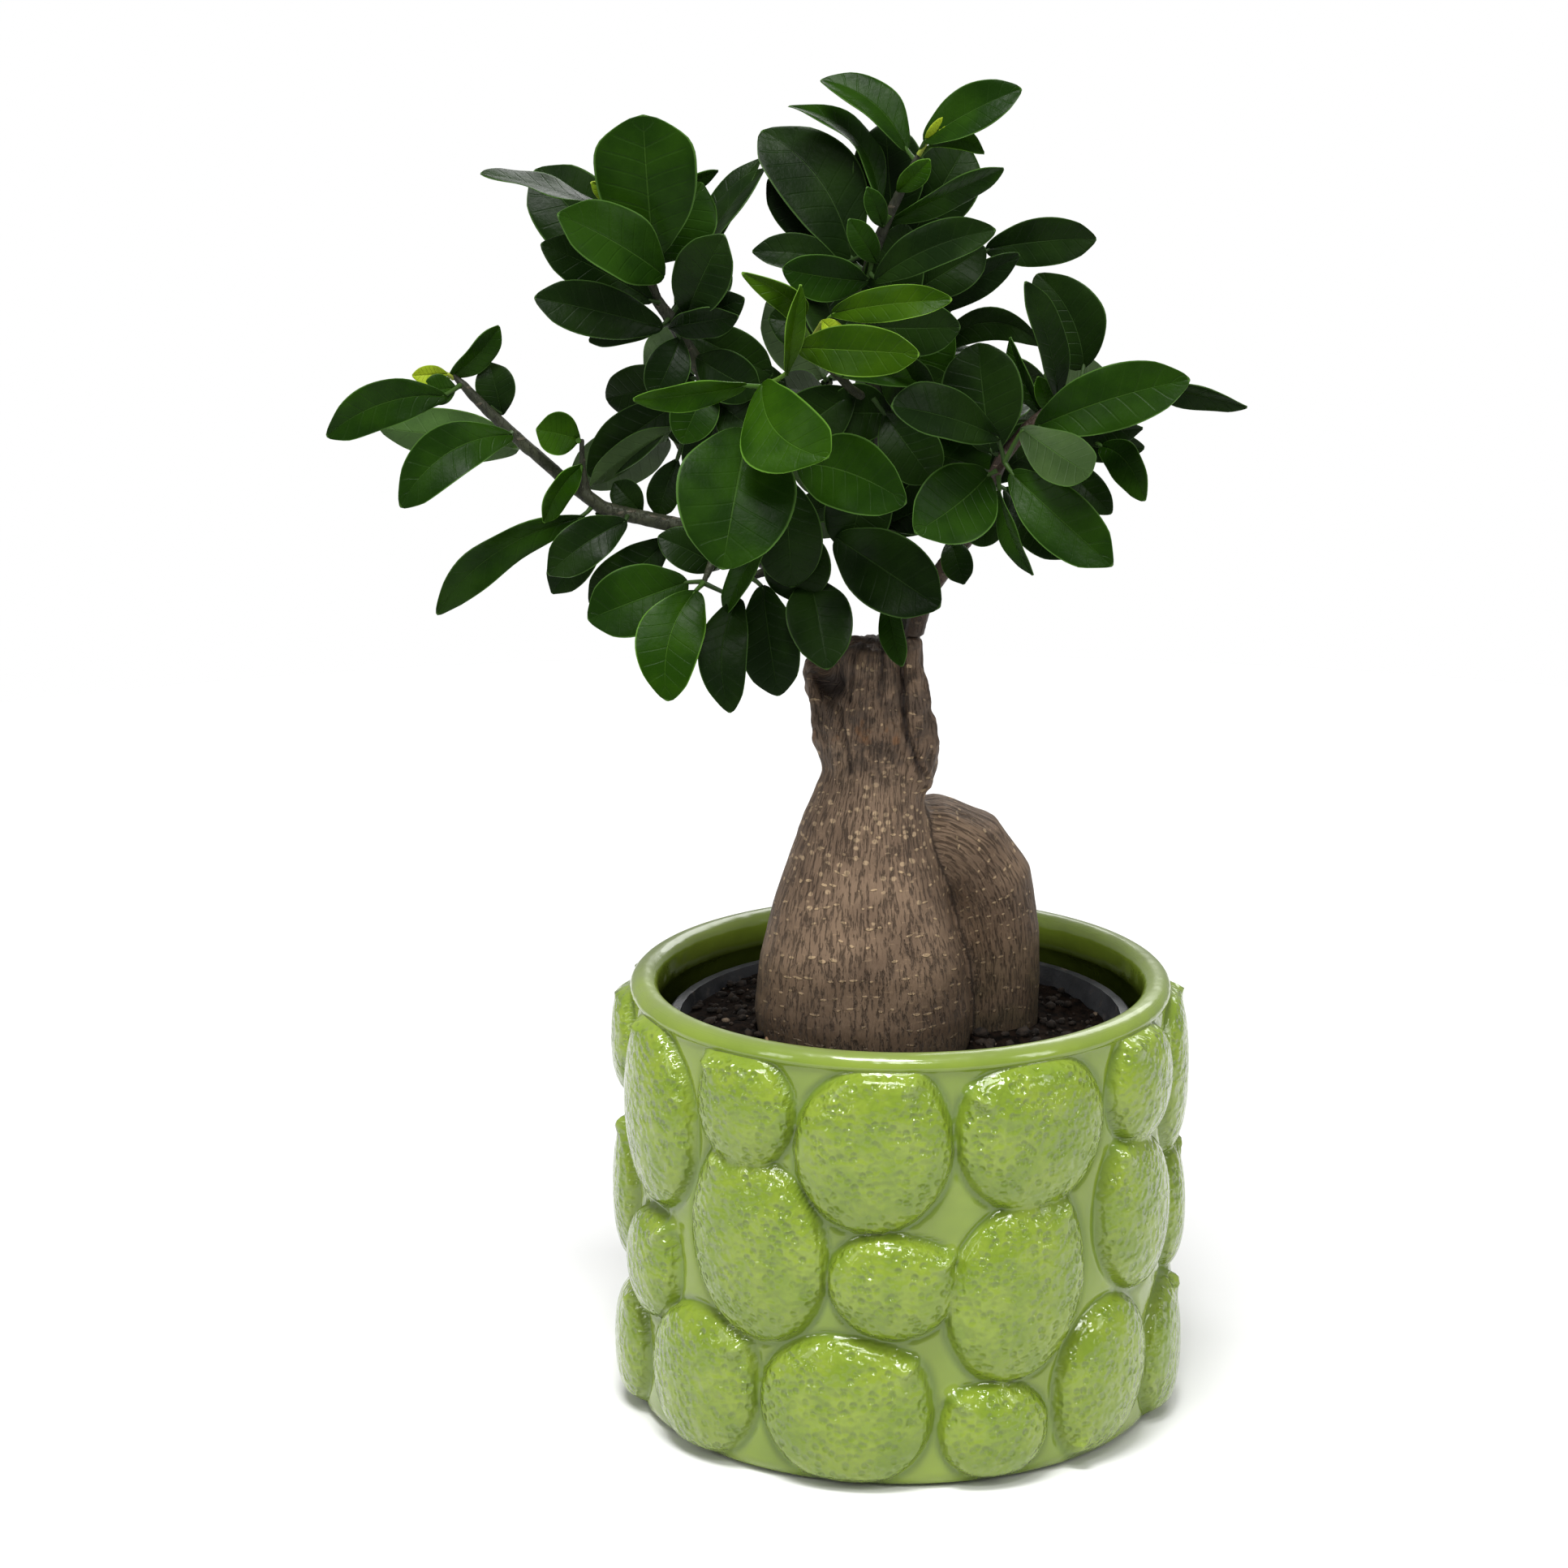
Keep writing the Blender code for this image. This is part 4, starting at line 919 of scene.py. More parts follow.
def build_rootstock(node):
    """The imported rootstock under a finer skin, pushed in and out into bark, cracks and a torn lip."""
    root = refined_copy(node, "rootstock_bark", ROOT_SQUARE, 5)
    mesh = root.data
    points, normals = points_of(mesh) / MM, normals_of(mesh)
    trunk_reach, trunk_grain, trunk_unrolled = grain_about(points, TRUNK_LINE, 0.0)
    arch_reach, arch_grain, arch_unrolled = grain_about(points, ARCH_LINE, 300.0)
    on_arch = (arch_reach < trunk_reach) & (points[:, 2] < 168)
    grain = np.where(on_arch[:, None], arch_grain, trunk_grain)
    set_vectors(mesh, "grain", grain * MM)
    set_vectors(mesh, "unrolled", np.where(on_arch[:, None], arch_unrolled, trunk_unrolled) * MM)
    height = points[:, 2]
    front = np.clip(-normals[:, 1] * 1.6, 0.0, 1.0)
    graft = np.clip((height - 166.0) / 8.0, 0.0, 1.0)
    neck = np.clip(1.0 - np.abs(height - 160.0) / 14.0, 0.0, 1.0)
    furrows = wavy(grain * np.array((1.0, 1.0, 0.14)) / 2.2, 1.0, 3)
    rings = wavy(grain * np.array((0.16, 0.16, 1.0)) / 2.6, 1.0, 5)
    lumps = wavy(points, 11.0, 1)
    scabs = wavy(points, 3.2, 9)
    push = 0.20 * furrows + 0.16 * rings * (0.4 + neck) + 0.55 * lumps * (0.4 + graft)
    push += graft * (0.75 * scabs + 0.35 * furrows)
    # The cracks are pushed in and painted dark: partly their own dark, partly painted shade.
    crack = distance_to_drawn(points, GRAFT_CRACK)
    scar_and_shade = front * np.exp(-((crack / 0.75) ** 2)) * graft
    push -= 1.7 * scar_and_shade
    for line_points in SIDE_CRACKS:
        side = front * np.exp(-((distance_to_drawn(points, line_points) / 0.6) ** 2))
        push -= 0.9 * side
        scar_and_shade = np.maximum(scar_and_shade, 0.8 * side)
    # Painted shade: the hollow under the torn lip is pushed in and painted dark.
    hollow = front * np.exp(-(((points[:, 0] + 18.5) / 3.6) ** 2) - ((height - 194.0) / 4.2) ** 2)
    push -= 3.2 * hollow
    scar_and_shade = np.maximum(scar_and_shade, np.clip(1.5 * hollow, 0.0, 1.0))
    knob = np.exp(-(((points[:, 0] - 7.5) / 2.2) ** 2) - ((height - 167.5) / 2.2) ** 2) * front
    push += 1.3 * knob
    cut_top = np.clip((height - 201.6) / 1.0, 0.0, 1.0) * (points[:, 0] < 2.0)
    scar_and_shade = np.maximum(scar_and_shade, 0.75 * cut_top * np.clip(0.6 + scabs, 0.0, 1.0))
    # Painted shade: the seam where the arching root meets the trunk is painted dark.
    seam = np.exp(-(((arch_reach - trunk_reach) / 0.06) ** 2)) * (height < 160) * (points[:, 0] > 4)
    scar_and_shade = np.maximum(scar_and_shade, 0.6 * seam)
    points = points + normals * push[:, None]
    points[:, 2] += cut_top * (0.6 * furrows + 0.4 * scabs)
    move_points(mesh, points * MM)
    set_attribute(mesh, "scar_and_shade", scar_and_shade)
    set_attribute(mesh, "graft", graft)
    # The bark grows darker towards the soil.
    set_attribute(mesh, "darker_near_soil", np.clip((126.0 - height + 5.0 * lumps) / 26.0, 0.0, 1.0))
    set_attribute(mesh, "neck", np.exp(-(((height - 158.0) / 13.0) ** 2)) * ~on_arch)
    arch_moss = np.clip((124.0 - height) / 22.0, 0.0, 1.0)
    moss = np.where(on_arch, arch_moss, np.clip((108.0 - height) / 12.0, 0.0, 0.6))
    set_attribute(mesh, "moss", moss * np.clip(0.6 + wavy(points, 6.0, 12), 0.0, 1.0))
    mesh.materials.append(ROOT_BARK)
    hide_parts("rootstock")
    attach(root, BODY)
    return root


def build_scion(node, name, bark):
    """A grafted shoot with soft joints, raised leaf scars and fine bark."""
    shoot = refined_copy(node, f"{name}_bark", TWIG_SQUARE, 4)
    mesh = shoot.data
    points, normals = points_of(mesh), normals_of(mesh)
    rings = wavy(points, 0.0042, 21)
    fine = wavy(points, 0.0014, 22)
    lumps = np.clip(wavy(points, 0.006, 23) - 0.25, 0.0, 1.0)
    push = 0.14 * rings + 0.09 * fine + 0.5 * lumps
    set_vectors(mesh, "grain", points)
    set_vectors(mesh, "unrolled", points[:, [0, 2, 1]])
    move_points(mesh, points + normals * push[:, None] * MM)
    mesh.materials.append(bark)
    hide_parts(name)
    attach(shoot, BODY)
    return shoot


# ------------------------------------------------------------------------------------------------- leaves

# Where a blade's columns of points lie, from its midrib at 0 to its margin at 1.
HALF_COLUMNS = (0.07, 0.22, 0.45, 0.68, 0.87, 0.965, 1.0)
BLADE_COLUMNS = np.array([-share for share in HALF_COLUMNS[::-1]] + [0.0] + list(HALF_COLUMNS))
BLADE_ROWS = 24


class Blade:
    """A leaf's shape: its middle line, the directions of its width and upper face, and its outline."""

    def __init__(self, shares, middles, across, upper, halves, fold, stalk):
        self.shares = np.asarray(shares, float)
        self.middles = np.asarray(middles, float)
        self.across = Vector(across).normalized()
        self.upper = Vector(upper).normalized()
        self.halves = np.asarray(halves, float)
        self.fold = fold
        self.stalk = stalk


def smooth_curve(places, values, wanted):
    """A smooth curve through values at places, read at the wanted places."""
    slopes = np.gradient(values, places)
    found = []
    for place in wanted:
        index = int(np.clip(np.searchsorted(places, place) - 1, 0, len(places) - 2))
        width = places[index + 1] - places[index]
        share = (place - places[index]) / width
        squared, cubed = share**2, share**3
        found.append(
            (2 * cubed - 3 * squared + 1) * values[index]
            + (cubed - 2 * squared + share) * width * slopes[index]
            + (-2 * cubed + 3 * squared) * values[index + 1]
            + (cubed - squared) * width * slopes[index + 1]
        )
    return np.array(found)


def blade_width(share, fullest):
    """The share of a blade's full width at a share of its length."""
    if share < fullest:
        return 0.05 + 0.95 * (1.0 - (1.0 - share / fullest) ** 2.3)
    beyond = (share - fullest) / (1.0 - fullest)
    return max(0.04, (1.0 - beyond**1.8) ** (1.0 / 1.8))


def sighted(x, z, depth):
    """The real place of a point drawn from the front at (x, z) that lies depth behind the middle plane."""
    drawn = Vector((x, 0.0, z))
    share = (depth - VIEWPOINT.y) / -VIEWPOINT.y
    return (VIEWPOINT + share * (drawn - VIEWPOINT)) * MM


def make_blade(base, tip, upper, width, arch, fold, sweep, fullest, stalk_start):
    """A blade between two points in metres, with its width, arch and sweep in millimetres."""
    along = (tip - base).normalized()
    upper = (upper - upper.dot(along) * along).normalized()
    across = along.cross(upper)
    shares = (0.0, 0.07, 0.18, 0.34, 0.5, 0.66, 0.8, 0.9, 0.96, 1.0)
    middles, halves = [], []
    for share in shares:
        bow = 4.0 * share * (1.0 - share) * MM
        middles.append(base + share * (tip - base) + bow * (arch * upper + sweep * across))
        halves.append(0.5 * width * MM * blade_width(share, fullest))
    return Blade(shares, middles, across, upper, halves, fold, stalk_start)


def drawn_blade(row):
    """The blade of one row of MORE_LEAVES."""
    base, tip = sighted(*row[0:3]), sighted(*row[3:6])
    width, roll, arch, fold, sweep = row[6:11]
    along = (tip - base).normalized()
    sight = (VIEWPOINT * MM - 0.5 * (base + tip)).normalized()
    face = (sight - sight.dot(along) * along).normalized()
    upper = Matrix.Rotation(math.radians(roll), 3, along) @ face
    return make_blade(base, tip, upper, width, arch, fold, sweep, 0.57, base - 3.0 * MM * along)


def read_blade(node, twigs):
    """Recovers a packed leaf's middle line and outline from its rings of six points."""
    mesh = bmesh.new()
    mesh.from_mesh(node.data)
    bmesh.ops.remove_doubles(mesh, verts=mesh.verts, dist=1e-6)
    mesh.verts.ensure_lookup_table()
    points = [vertex.co.copy() for vertex in mesh.verts]
    centre = sum(points, Vector()) / len(points)
    one_end = max(points, key=lambda point: (point - centre).length)
    other_end = max(points, key=lambda point: (point - one_end).length)
    tip = max((one_end, other_end), key=lambda point: twigs.find(point)[2])
    axis = (tip - centre).normalized()
    ring = sorted(range(len(points)), key=lambda index: -points[index].dot(axis))[:6]
    rings, seen = [], set()
    while ring:
        rings.append(sorted(ring))
        seen.update(ring)
        corners = [mesh.verts[index] for index in ring]
        beside = {edge.other_vert(corner).index for corner in corners for edge in corner.link_edges}
        ring = sorted(beside - seen)
    mesh.free()
    rings = rings[::-1]
    if len(rings) != 9 or any(len(ring) != 6 for ring in rings):
        raise ValueError(f"{node.name} isn't a leaf of nine rings: {[len(ring) for ring in rings]}")
    full = [points[index] for index in rings[5]]
    pairs = [(a - b).length for a in full for b in full]
    widest = pairs.index(max(pairs))
    across = (full[widest // 6] - full[widest % 6]).normalized()
    middles, lefts, rights = [], [], []
    for ring in rings[2:]:
        ordered = sorted((points[index] for index in ring), key=lambda point: point.dot(across))
        lefts.append(0.5 * (ordered[0] + ordered[1]))
        middles.append(0.5 * (ordered[2] + ordered[3]))
        rights.append(0.5 * (ordered[4] + ordered[5]))
    along = (middles[-1] - middles[0]).normalized()
    across = (rights[3] - lefts[3]).normalized()
    rise = 0.5 * (lefts[3] + rights[3]) - middles[3]
    rise = rise - rise.dot(along) * along
    upper = (rise - rise.dot(across) * across).normalized()
    across = along.cross(upper)
    halves = [0.5 * (right - left).length for left, right in zip(lefts, rights)]
    total = (middles[-1] - middles[0]).dot(along)
    shares = [(middle - middles[0]).dot(along) / total for middle in middles]
    start = sum((points[index] for index in rings[0]), Vector()) / 6.0
    half_full = max(halves[3], 1e-6)
    return Blade(shares, middles, across, upper, halves, rise.length / half_full, start)


def leaf_mesh(blade, seed):
    """Points, faces, material numbers and leaf coordinates of a thin curved blade and its stalk."""
    chance = random.Random(seed)
    rows = 0.5 - 0.5 * np.cos(np.linspace(0.0, math.pi, BLADE_ROWS))
    rows = 0.6 * rows + 0.4 * np.linspace(0.0, 1.0, BLADE_ROWS)
    fits = [np.polyfit(blade.shares, blade.middles[:, axis], 3) for axis in range(3)]
    middles = np.stack([np.polyval(fit, rows) for fit in fits], axis=1)
    squared = smooth_curve(blade.shares, blade.halves**2, rows)
    least = 0.35 * MM
    halves = np.sqrt(np.clip(squared, least**2, None))
    pointed = chance.uniform(0.15, 0.5)
    halves *= 1.0 - pointed * np.clip((rows - 0.84) / 0.16, 0.0, 1.0) ** 1.5
    halves[-1] = least
    across, upper = np.array(blade.across), np.array(blade.upper)
    length = np.linalg.norm(middles[-1] - middles[0])
    wave_size = chance.uniform(0.010, 0.022) * length
    wave_count = chance.uniform(1.1, 2.0)
    phases = (chance.uniform(0, 2 * math.pi), chance.uniform(0, 2 * math.pi))
    twist = chance.uniform(-0.10, 0.10)
    tops, unders, places = [], [], []
    for row, share in enumerate(rows):
        half = halves[row]
        fade = math.sin(math.pi * min(1.0, max(0.0, share))) ** 0.5 if 0 < share < 1 else 0.0
        for column in BLADE_COLUMNS:
            side = abs(column)
            lift = blade.fold * half * (side**1.45 - 0.22 * side**7)
            phase = phases[0 if column < 0 else 1]
            lift += wave_size * fade * side**3 * math.sin(2 * math.pi * wave_count * share + phase)
            lift += twist * (share - 0.3) * column * half
            groove = 0.20 * MM * math.exp(-((column / 0.06) ** 2)) * (1.0 - 0.6 * share)
            rib = 0.34 * MM * math.exp(-((column / 0.07) ** 2)) * (1.0 - 0.75 * share)
            thick = (0.42 - 0.20 * side**4) * MM
            veins = math.cos(2 * math.pi * (VEIN_COUNT * share - VEIN_BEND * side**VEIN_CURVE))
            vein = 0.045 * MM * veins * (1.0 - side**6) * fade
            centre = middles[row] + column * half * across
            tops.append(centre + (lift + 0.5 * thick - groove - vein) * upper)
            unders.append(centre + (lift - 0.5 * thick - rib - 0.5 * vein) * upper)
            places.append((0.5 + 0.5 * column, share))
    column_count = len(BLADE_COLUMNS)
    points = tops + unders
    under_start = len(tops)
    faces, numbers = [], []
    for row in range(BLADE_ROWS - 1):
        for column in range(column_count - 1):
            a = row * column_count + column
            b, c, d = a + 1, a + column_count + 1, a + column_count
            faces.append((a, b, c, d))
            numbers.append(0)
            faces.append((under_start + a, under_start + d, under_start + c, under_start + b))
            numbers.append(1)
    last = (BLADE_ROWS - 1) * column_count
    border = [row * column_count for row in range(BLADE_ROWS)]
    border += [last + column for column in range(1, column_count)]
    border += [row * column_count + column_count - 1 for row in range(BLADE_ROWS - 2, -1, -1)]
    border += [column for column in range(column_count - 2, 0, -1)]
    for here, following in zip(border, border[1:] + border[:1]):
        faces.append((here, following, under_start + following, under_start + here))
        numbers.append(0)
    coordinates = places + places
    add_stalk(blade, middles, upper, points, faces, numbers, coordinates)
    return points, faces, numbers, coordinates


def ring_distance(points, low, high, shift, sides):
    """Sum of the distances between the points of two rings, with the second turned by some places."""
    return sum(
        np.linalg.norm(points[low + side] - points[high + (side + shift) % sides]) for side in range(sides)
    )


def add_stalk(blade, middles, upper, points, faces, numbers, coordinates):
    """A round stalk from the twig into the start of the midrib, added to a leaf's lists."""
    start = np.array(blade.stalk)
    into = middles[2] - 0.25 * MM * upper
    base = middles[0]
    outward = base - start
    reach = np.linalg.norm(outward)
    if reach > 1e-6:
        start = start - outward / reach * 1.6 * MM
    sides = 8
    ring_start = len(points)
    shares = (0.0, 0.3, 0.6, 0.85, 1.0)
    path = [(1 - s) ** 2 * start + 2 * s * (1 - s) * base + s**2 * into for s in shares]
    radii = (0.72, 0.58, 0.55, 0.5, 0.3)
    for index, centre in enumerate(path):
        ahead = path[min(index + 1, len(path) - 1)] - path[max(index - 1, 0)]
        ahead = Vector(ahead).normalized()
        first = ahead.orthogonal().normalized()
        second = ahead.cross(first)
        for side in range(sides):
            angle = 2.0 * math.pi * side / sides
            offset = radii[index] * MM * (math.cos(angle) * first + math.sin(angle) * second)
            points.append(centre + np.array(offset))
            coordinates.append((0.5, 0.02))
    # Each ring starts at its own angle, so the faces follow the nearest points.
    for index in range(len(path) - 1):
        low, high = ring_start + index * sides, ring_start + (index + 1) * sides
        turn = min(range(sides), key=lambda shift: ring_distance(points, low, high, shift, sides))
        for side in range(sides):
            after = (side + 1) % sides
            high_after = high + (after + turn) % sides
            high_side = high + (side + turn) % sides
            faces.append((low + side, low + after, high_after, high_side))
            numbers.append(1)
    faces.append(tuple(ring_start + side for side in range(sides))[::-1])
    faces.append(tuple(ring_start + (len(path) - 1) * sides + side for side in range(sides)))
    numbers.extend((1, 1))


def leaves_object(name, blades, skin, seed):
    """One object that holds all the given leaves, in one pair of materials."""
    points, faces, numbers, coordinates = [], [], [], []
    for order, blade in enumerate(blades):
        more_points, more_faces, more_numbers, more_coordinates = leaf_mesh(blade, seed * 1000 + order)
        start = len(points)
        points += more_points
        faces += [tuple(start + corner for corner in face) for face in more_faces]
        numbers += more_numbers
        coordinates += more_coordinates
    made = new_object(name, points, faces, LEAF_SKINS[skin])
    mesh = made.data
    mesh.polygons.foreach_set("material_index", numbers)
    layer = mesh.uv_layers.new(name="blade")
    corners = np.empty(len(mesh.loops), np.int32)
    mesh.loops.foreach_get("vertex_index", corners)
    layer.data.foreach_set("uv", np.asarray(coordinates, np.float32)[corners].reshape(-1))
    mesh.set_sharp_from_angle(angle=math.radians(75))
    return made


# The age of each packed leaf that isn't dark.
LEAF_AGES = {
    "young": ("leaf_young_1", "leaf_young_2", "leaf_young_3"),
    "fresh": ("leaf_low_5", "leaf_front_1", "leaf_left_5", "leaf_left_8"),
    "middle": (
        "leaf_top_left_4", "leaf_top_left_2", "leaf_top_middle_2", "leaf_top_middle_4", "leaf_right_3",
        "leaf_right_5", "leaf_right_7", "leaf_front_3", "leaf_low_6", "leaf_left_2", "leaf_left_3",
        "leaf_left_4", "leaf_front_6", "leaf_top_middle_3", "leaf_right_6", "leaf_right_8", "leaf_front_2",
    ),
}

# Further leaves as drawn from the front: base (x, height, depth), tip (x, height, depth), width, roll in
# degrees from facing the viewpoint, arch, fold, sweep to the right looking along the leaf, and age.
MORE_LEAVES = [
    (-63, 290, -12, -90.7, 304.5, -20, 14, 12, 2.0, 0.2, 0.5, "dark"),
    (-60, 284, -6, -79, 280, -8, 9, 30, 1.5, 0.3, 0.0, "dark"),
    (-67, 314, -8, -46.5, 323, 4, 7, 55, 2.0, 0.4, -3.0, "middle"),
    (-61.5, 300, -9, -50.5, 320, -4, 16, 20, 2.0, 0.2, 0.0, "middle"),
    (-56, 291, 5, -35.7, 326, 16, 11, -48, 2.5, 0.3, 0.0, "dark"),
    (-59, 283.5, -14, -41.5, 286.5, -22, 9, 30, 1.5, 0.3, -1.0, "dark"),
    (-55, 283, -4, -33, 271.5, -8, 13, 0, 2.0, 0.2, 0.0, "dark"),
    (-3, 308, 6, -5, 335, 12, 18, 0, 2.0, 0.2, 0.0, "dark"),
    (1, 306, 8, 15, 330, 16, 18, 8, 2.0, 0.2, 0.0, "dark"),
    (5.5, 329, -10, 19.5, 327.5, -12, 6, -25, 2.0, 0.4, -2.0, "fresh"),
    (-4.5, 310, -4, 24.3, 323.8, 4, 9, 42, 2.0, 0.35, -2.0, "middle"),
    (-5.5, 309, -8, -9.5, 319, -12, 5.5, 10, 1.0, 0.3, 0.0, "middle"),
    (5, 330, -11, 9.8, 336.5, -14, 4.2, 0, 1.0, 0.4, 0.5, "bud"),
    (1, 292, -2, 20, 304, 2, 13, 0, 2.0, 0.2, 0.0, "dark"),
    (-2, 286, 2, 28.5, 302.5, 8, 9, 25, 2.0, 0.3, 0.0, "dark"),
    (-14, 301, 9, -34, 321, 14, 13, 0, 2.0, 0.2, 0.0, "dark"),
    (-10, 295, 6, -27, 310, 10, 16, 5, 2.0, 0.2, 0.0, "dark"),
    (-9, 295.5, -8, -30.5, 298.5, -14, 12, -15, 2.0, 0.3, 0.0, "middle"),
    (-14, 300, 0, -38, 302.8, -2, 10, 22, 2.0, 0.3, 0.0, "dark"),
    (-29.5, 271.5, -38, -26, 294.5, -42, 5.5, 35, 2.0, 0.4, -1.5, "young"),
    (-20.5, 285.5, -31, -14.5, 280.5, -35, 5.0, 10, 1.0, 0.2, 0.0, "bud"),
    (36, 259, -11, 60, 258.5, -13, 9, 35, 1.5, 0.3, 0.0, "dark"),
    (36, 257, -9, 60.5, 253.5, -10, 9, 25, 1.5, 0.3, 0.0, "dark"),
    (38, 262, -2, 58, 262.5, 2, 10, 20, 1.5, 0.3, 0.0, "dark"),
    (24, 243, -24, 33, 220.5, -34, 7, 48, 2.0, 0.3, 0.0, "middle"),
    (25.5, 243, -19, 42, 225, -27, 13, 0, 2.0, 0.2, 0.0, "dark"),
    (39, 250, -14, 52.5, 236.5, -21, 9, 0, 2.0, 0.2, 0.0, "dark"),
    (36, 260.5, -10, 26.5, 281.5, -4, 7, -48, 2.0, 0.3, 0.0, "middle"),
    (36.5, 262.5, -14, 33.5, 271.5, -16, 5, 10, 1.0, 0.3, 0.0, "fresh"),
    (12, 230, -10, 15.5, 218, -15, 8, 5, 1.0, 0.2, 0.0, "dark"),
    (-4, 215, -11, 0, 196.5, -20, 7, 25, 1.0, 0.3, 0.0, "middle"),
    (-33, 231, -22, -45, 209.5, -28, 8, 40, 2.0, 0.3, 0.0, "middle"),
    (-30, 246, -16, -28, 217, -18, 17, 0, 2.0, 0.2, 0.0, "dark"),
    (-27, 234, -12, -26.5, 213, -15, 17, 0, 2.0, 0.2, 0.0, "dark"),
    (-81, 248.5, -13, -91, 233.5, -19, 7.5, -32, 2.0, 0.3, 2.5, "fresh"),
    (-81.5, 255, -13, -92.5, 257.5, -17, 11, 5, 1.0, 0.2, 0.0, "fresh"),
    (-114.5, 270.5, -12, -101.5, 283.8, -10, 8, 35, 1.5, 0.3, 0.5, "middle"),
    (-101, 261, -10, -104, 274.5, -8, 10, 0, 1.5, 0.2, 0.0, "dark"),
    (-114.5, 271.5, -13, -123.5, 271, -16, 4.8, 0, 1.0, 0.3, 0.0, "bud"),
    (-112.5, 268, -14, -121, 266.5, -17, 8, 10, 1.0, 0.2, 0.0, "middle"),
    (-58, 258, -8, -79, 243, -9, 8, 150, 2.0, 0.3, 0.0, "middle"),
    (-66, 236, -8, -73, 244, -6, 8, 0, 1.0, 0.2, 0.0, "dark"),
    (-57, 250, -4, -62, 235, -6, 9, 20, 1.0, 0.2, 0.0, "dark"),
    (-46, 262, -4, -52, 244, -4, 12, 15, 1.5, 0.2, 0.0, "dark"),
    (-76, 234, -11, -89, 215, -14, 11, 5, 2.0, 0.2, 0.0, "dark"),
    (-46, 222, -12, -62, 230, -14, 11, 10, 2.0, 0.2, 0.0, "dark"),
    (-70, 314, -12, -78, 320, -18, 6, -10, 1.5, 0.4, 1.0, "bud"),
    (-69.5, 312, -13, -62, 319, -20, 6.5, 0, 1.5, 0.4, -1.0, "young"),
    (-5, 262, -12, 8, 244, -18, 15, 0, 2.0, 0.2, 0.0, "dark"),
    (-8, 250, -10, -14, 226, -12, 17, 0, 2.0, 0.2, 0.0, "dark"),
    (-12, 268, -8, -34, 252, -12, 16, 0, 2.0, 0.2, 0.0, "dark"),
    (2, 268, 4, 24, 262, 4, 15, 0, 2.0, 0.2, 0.0, "dark"),
    (-12, 282, 0, -34, 286, 0, 15, 10, 2.0, 0.2, 0.0, "dark"),
    (-10, 284, -16, 14, 284, -22, 14, 10, 2.0, 0.2, 0.0, "dark"),
    (14, 236, -8, 26, 232, -10, 12, 0, 2.0, 0.2, 0.0, "dark"),
    (-58, 285, -13, -40, 291, -18, 11, 15, 2.0, 0.2, 0.0, "dark"),
    (-56, 281, -13, -63, 265, -20, 11, -5, 2.0, 0.2, 0.0, "dark"),
    (-52, 276, -12, -36, 267, -19, 13, 10, 2.0, 0.2, 0.0, "dark"),
    (-49, 270, -12, -56, 254, -19, 12, 0, 2.0, 0.2, 0.0, "middle"),
    (-47, 265, -12, -33, 254, -19, 13, 5, 2.0, 0.2, 0.0, "dark"),
    (-57, 286, -2, -45, 301, 6, 13, 0, 2.0, 0.2, 0.0, "dark"),
    (-46, 262, -2, -30, 271, 9, 14, 0, 2.0, 0.2, 0.0, "dark"),
    (-44, 258, -2, -60, 261, 8, 13, 0, 2.0, 0.2, 0.0, "dark"),
    (-7, 300, -8, -14, 311, -12, 7, 10, 1.0, 0.2, 0.0, "middle"),
    (-2, 318, -10, 6, 326, -14, 6, 15, 1.0, 0.3, 0.0, "fresh"),
    (-3, 262, -4, -20, 262, -10, 15, 0, 2.0, 0.2, 0.0, "dark"),
    (-6, 272, -6, 8, 268, -14, 14, 10, 2.0, 0.2, 0.0, "dark"),
]


STALK_REACH = 9.0  # a drawn leaf whose base is nearer to a twig than this grows from it


def build_leaves(frame):
    """Grows every packed leaf as a curved blade, then the drawn leaves and those that fill the crown."""
    nodes = frame["nodes"]
    scions = [nodes[name] for name in ("scion_left", "scion_right", "scion_rear")]
    twig_points = [vertex.co for scion in scions for vertex in scion.data.vertices]
    twigs = kdtree.KDTree(len(twig_points))
    for index, point in enumerate(twig_points):
        twigs.insert(point, index)
    twigs.balance()
    age_of = {leaf: age for age, leaves in LEAF_AGES.items() for leaf in leaves}
    shown_blades = []
    for order, name in enumerate(sorted(node for node in nodes if node.startswith("leaf_"))):
        blade = read_blade(nodes[name], twigs)
        shown_blades.append(blade)
        made = leaves_object(f"{name}_grown", [blade], age_of.get(name, "dark"), order + 1)
        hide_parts(name)
        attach(made, BODY)
    by_age = {}
    for row in MORE_LEAVES:
        blade = drawn_blade(row)
        base = Vector(blade.middles[0])
        nearest, _index, distance = twigs.find(base)
        if distance < STALK_REACH * MM:
            blade.stalk = nearest + 0.4 * (base - nearest)
        by_age.setdefault(row[11], []).append(blade)
        shown_blades.append(blade)
    for order, age in enumerate(sorted(by_age)):
        made = leaves_object(f"more_leaves_{age}", by_age[age], age, 200 + order)
        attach(made, BODY)
    filling = fill_crown(twig_points, shown_blades)
    for order, age in enumerate(("dark", "middle")):
        made = leaves_object(f"inner_leaves_{age}", filling[order::2], age, 300 + order)
        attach(made, BODY)


FILLING_TRIES = 2600
MOST_INNER_LEAVES = 120
# Round zones, as seen from the front, that the crown fills: x, height, half width, half height.
FULL_ZONES = [(-12, 262, 40, 30), (-8, 296, 20, 20), (26, 258, 24, 18), (-40, 262, 24, 20)]


def outline_tree(blade):
    """A coarse surface of a blade, to keep leaves out of each other."""
    points, faces = [], []
    across, upper = np.array(blade.across), np.array(blade.upper)
    for middle, half in zip(blade.middles, blade.halves):
        lift = blade.fold * half * upper
        points += [middle - half * across + lift, middle, middle + half * across + lift]
    for row in range(len(blade.middles) - 1):
        for column in range(2):
            a = 3 * row + column
            faces.append((a, a + 1, a + 4, a + 3))
    return BVHTree.FromPolygons([tuple(point) for point in points], faces)


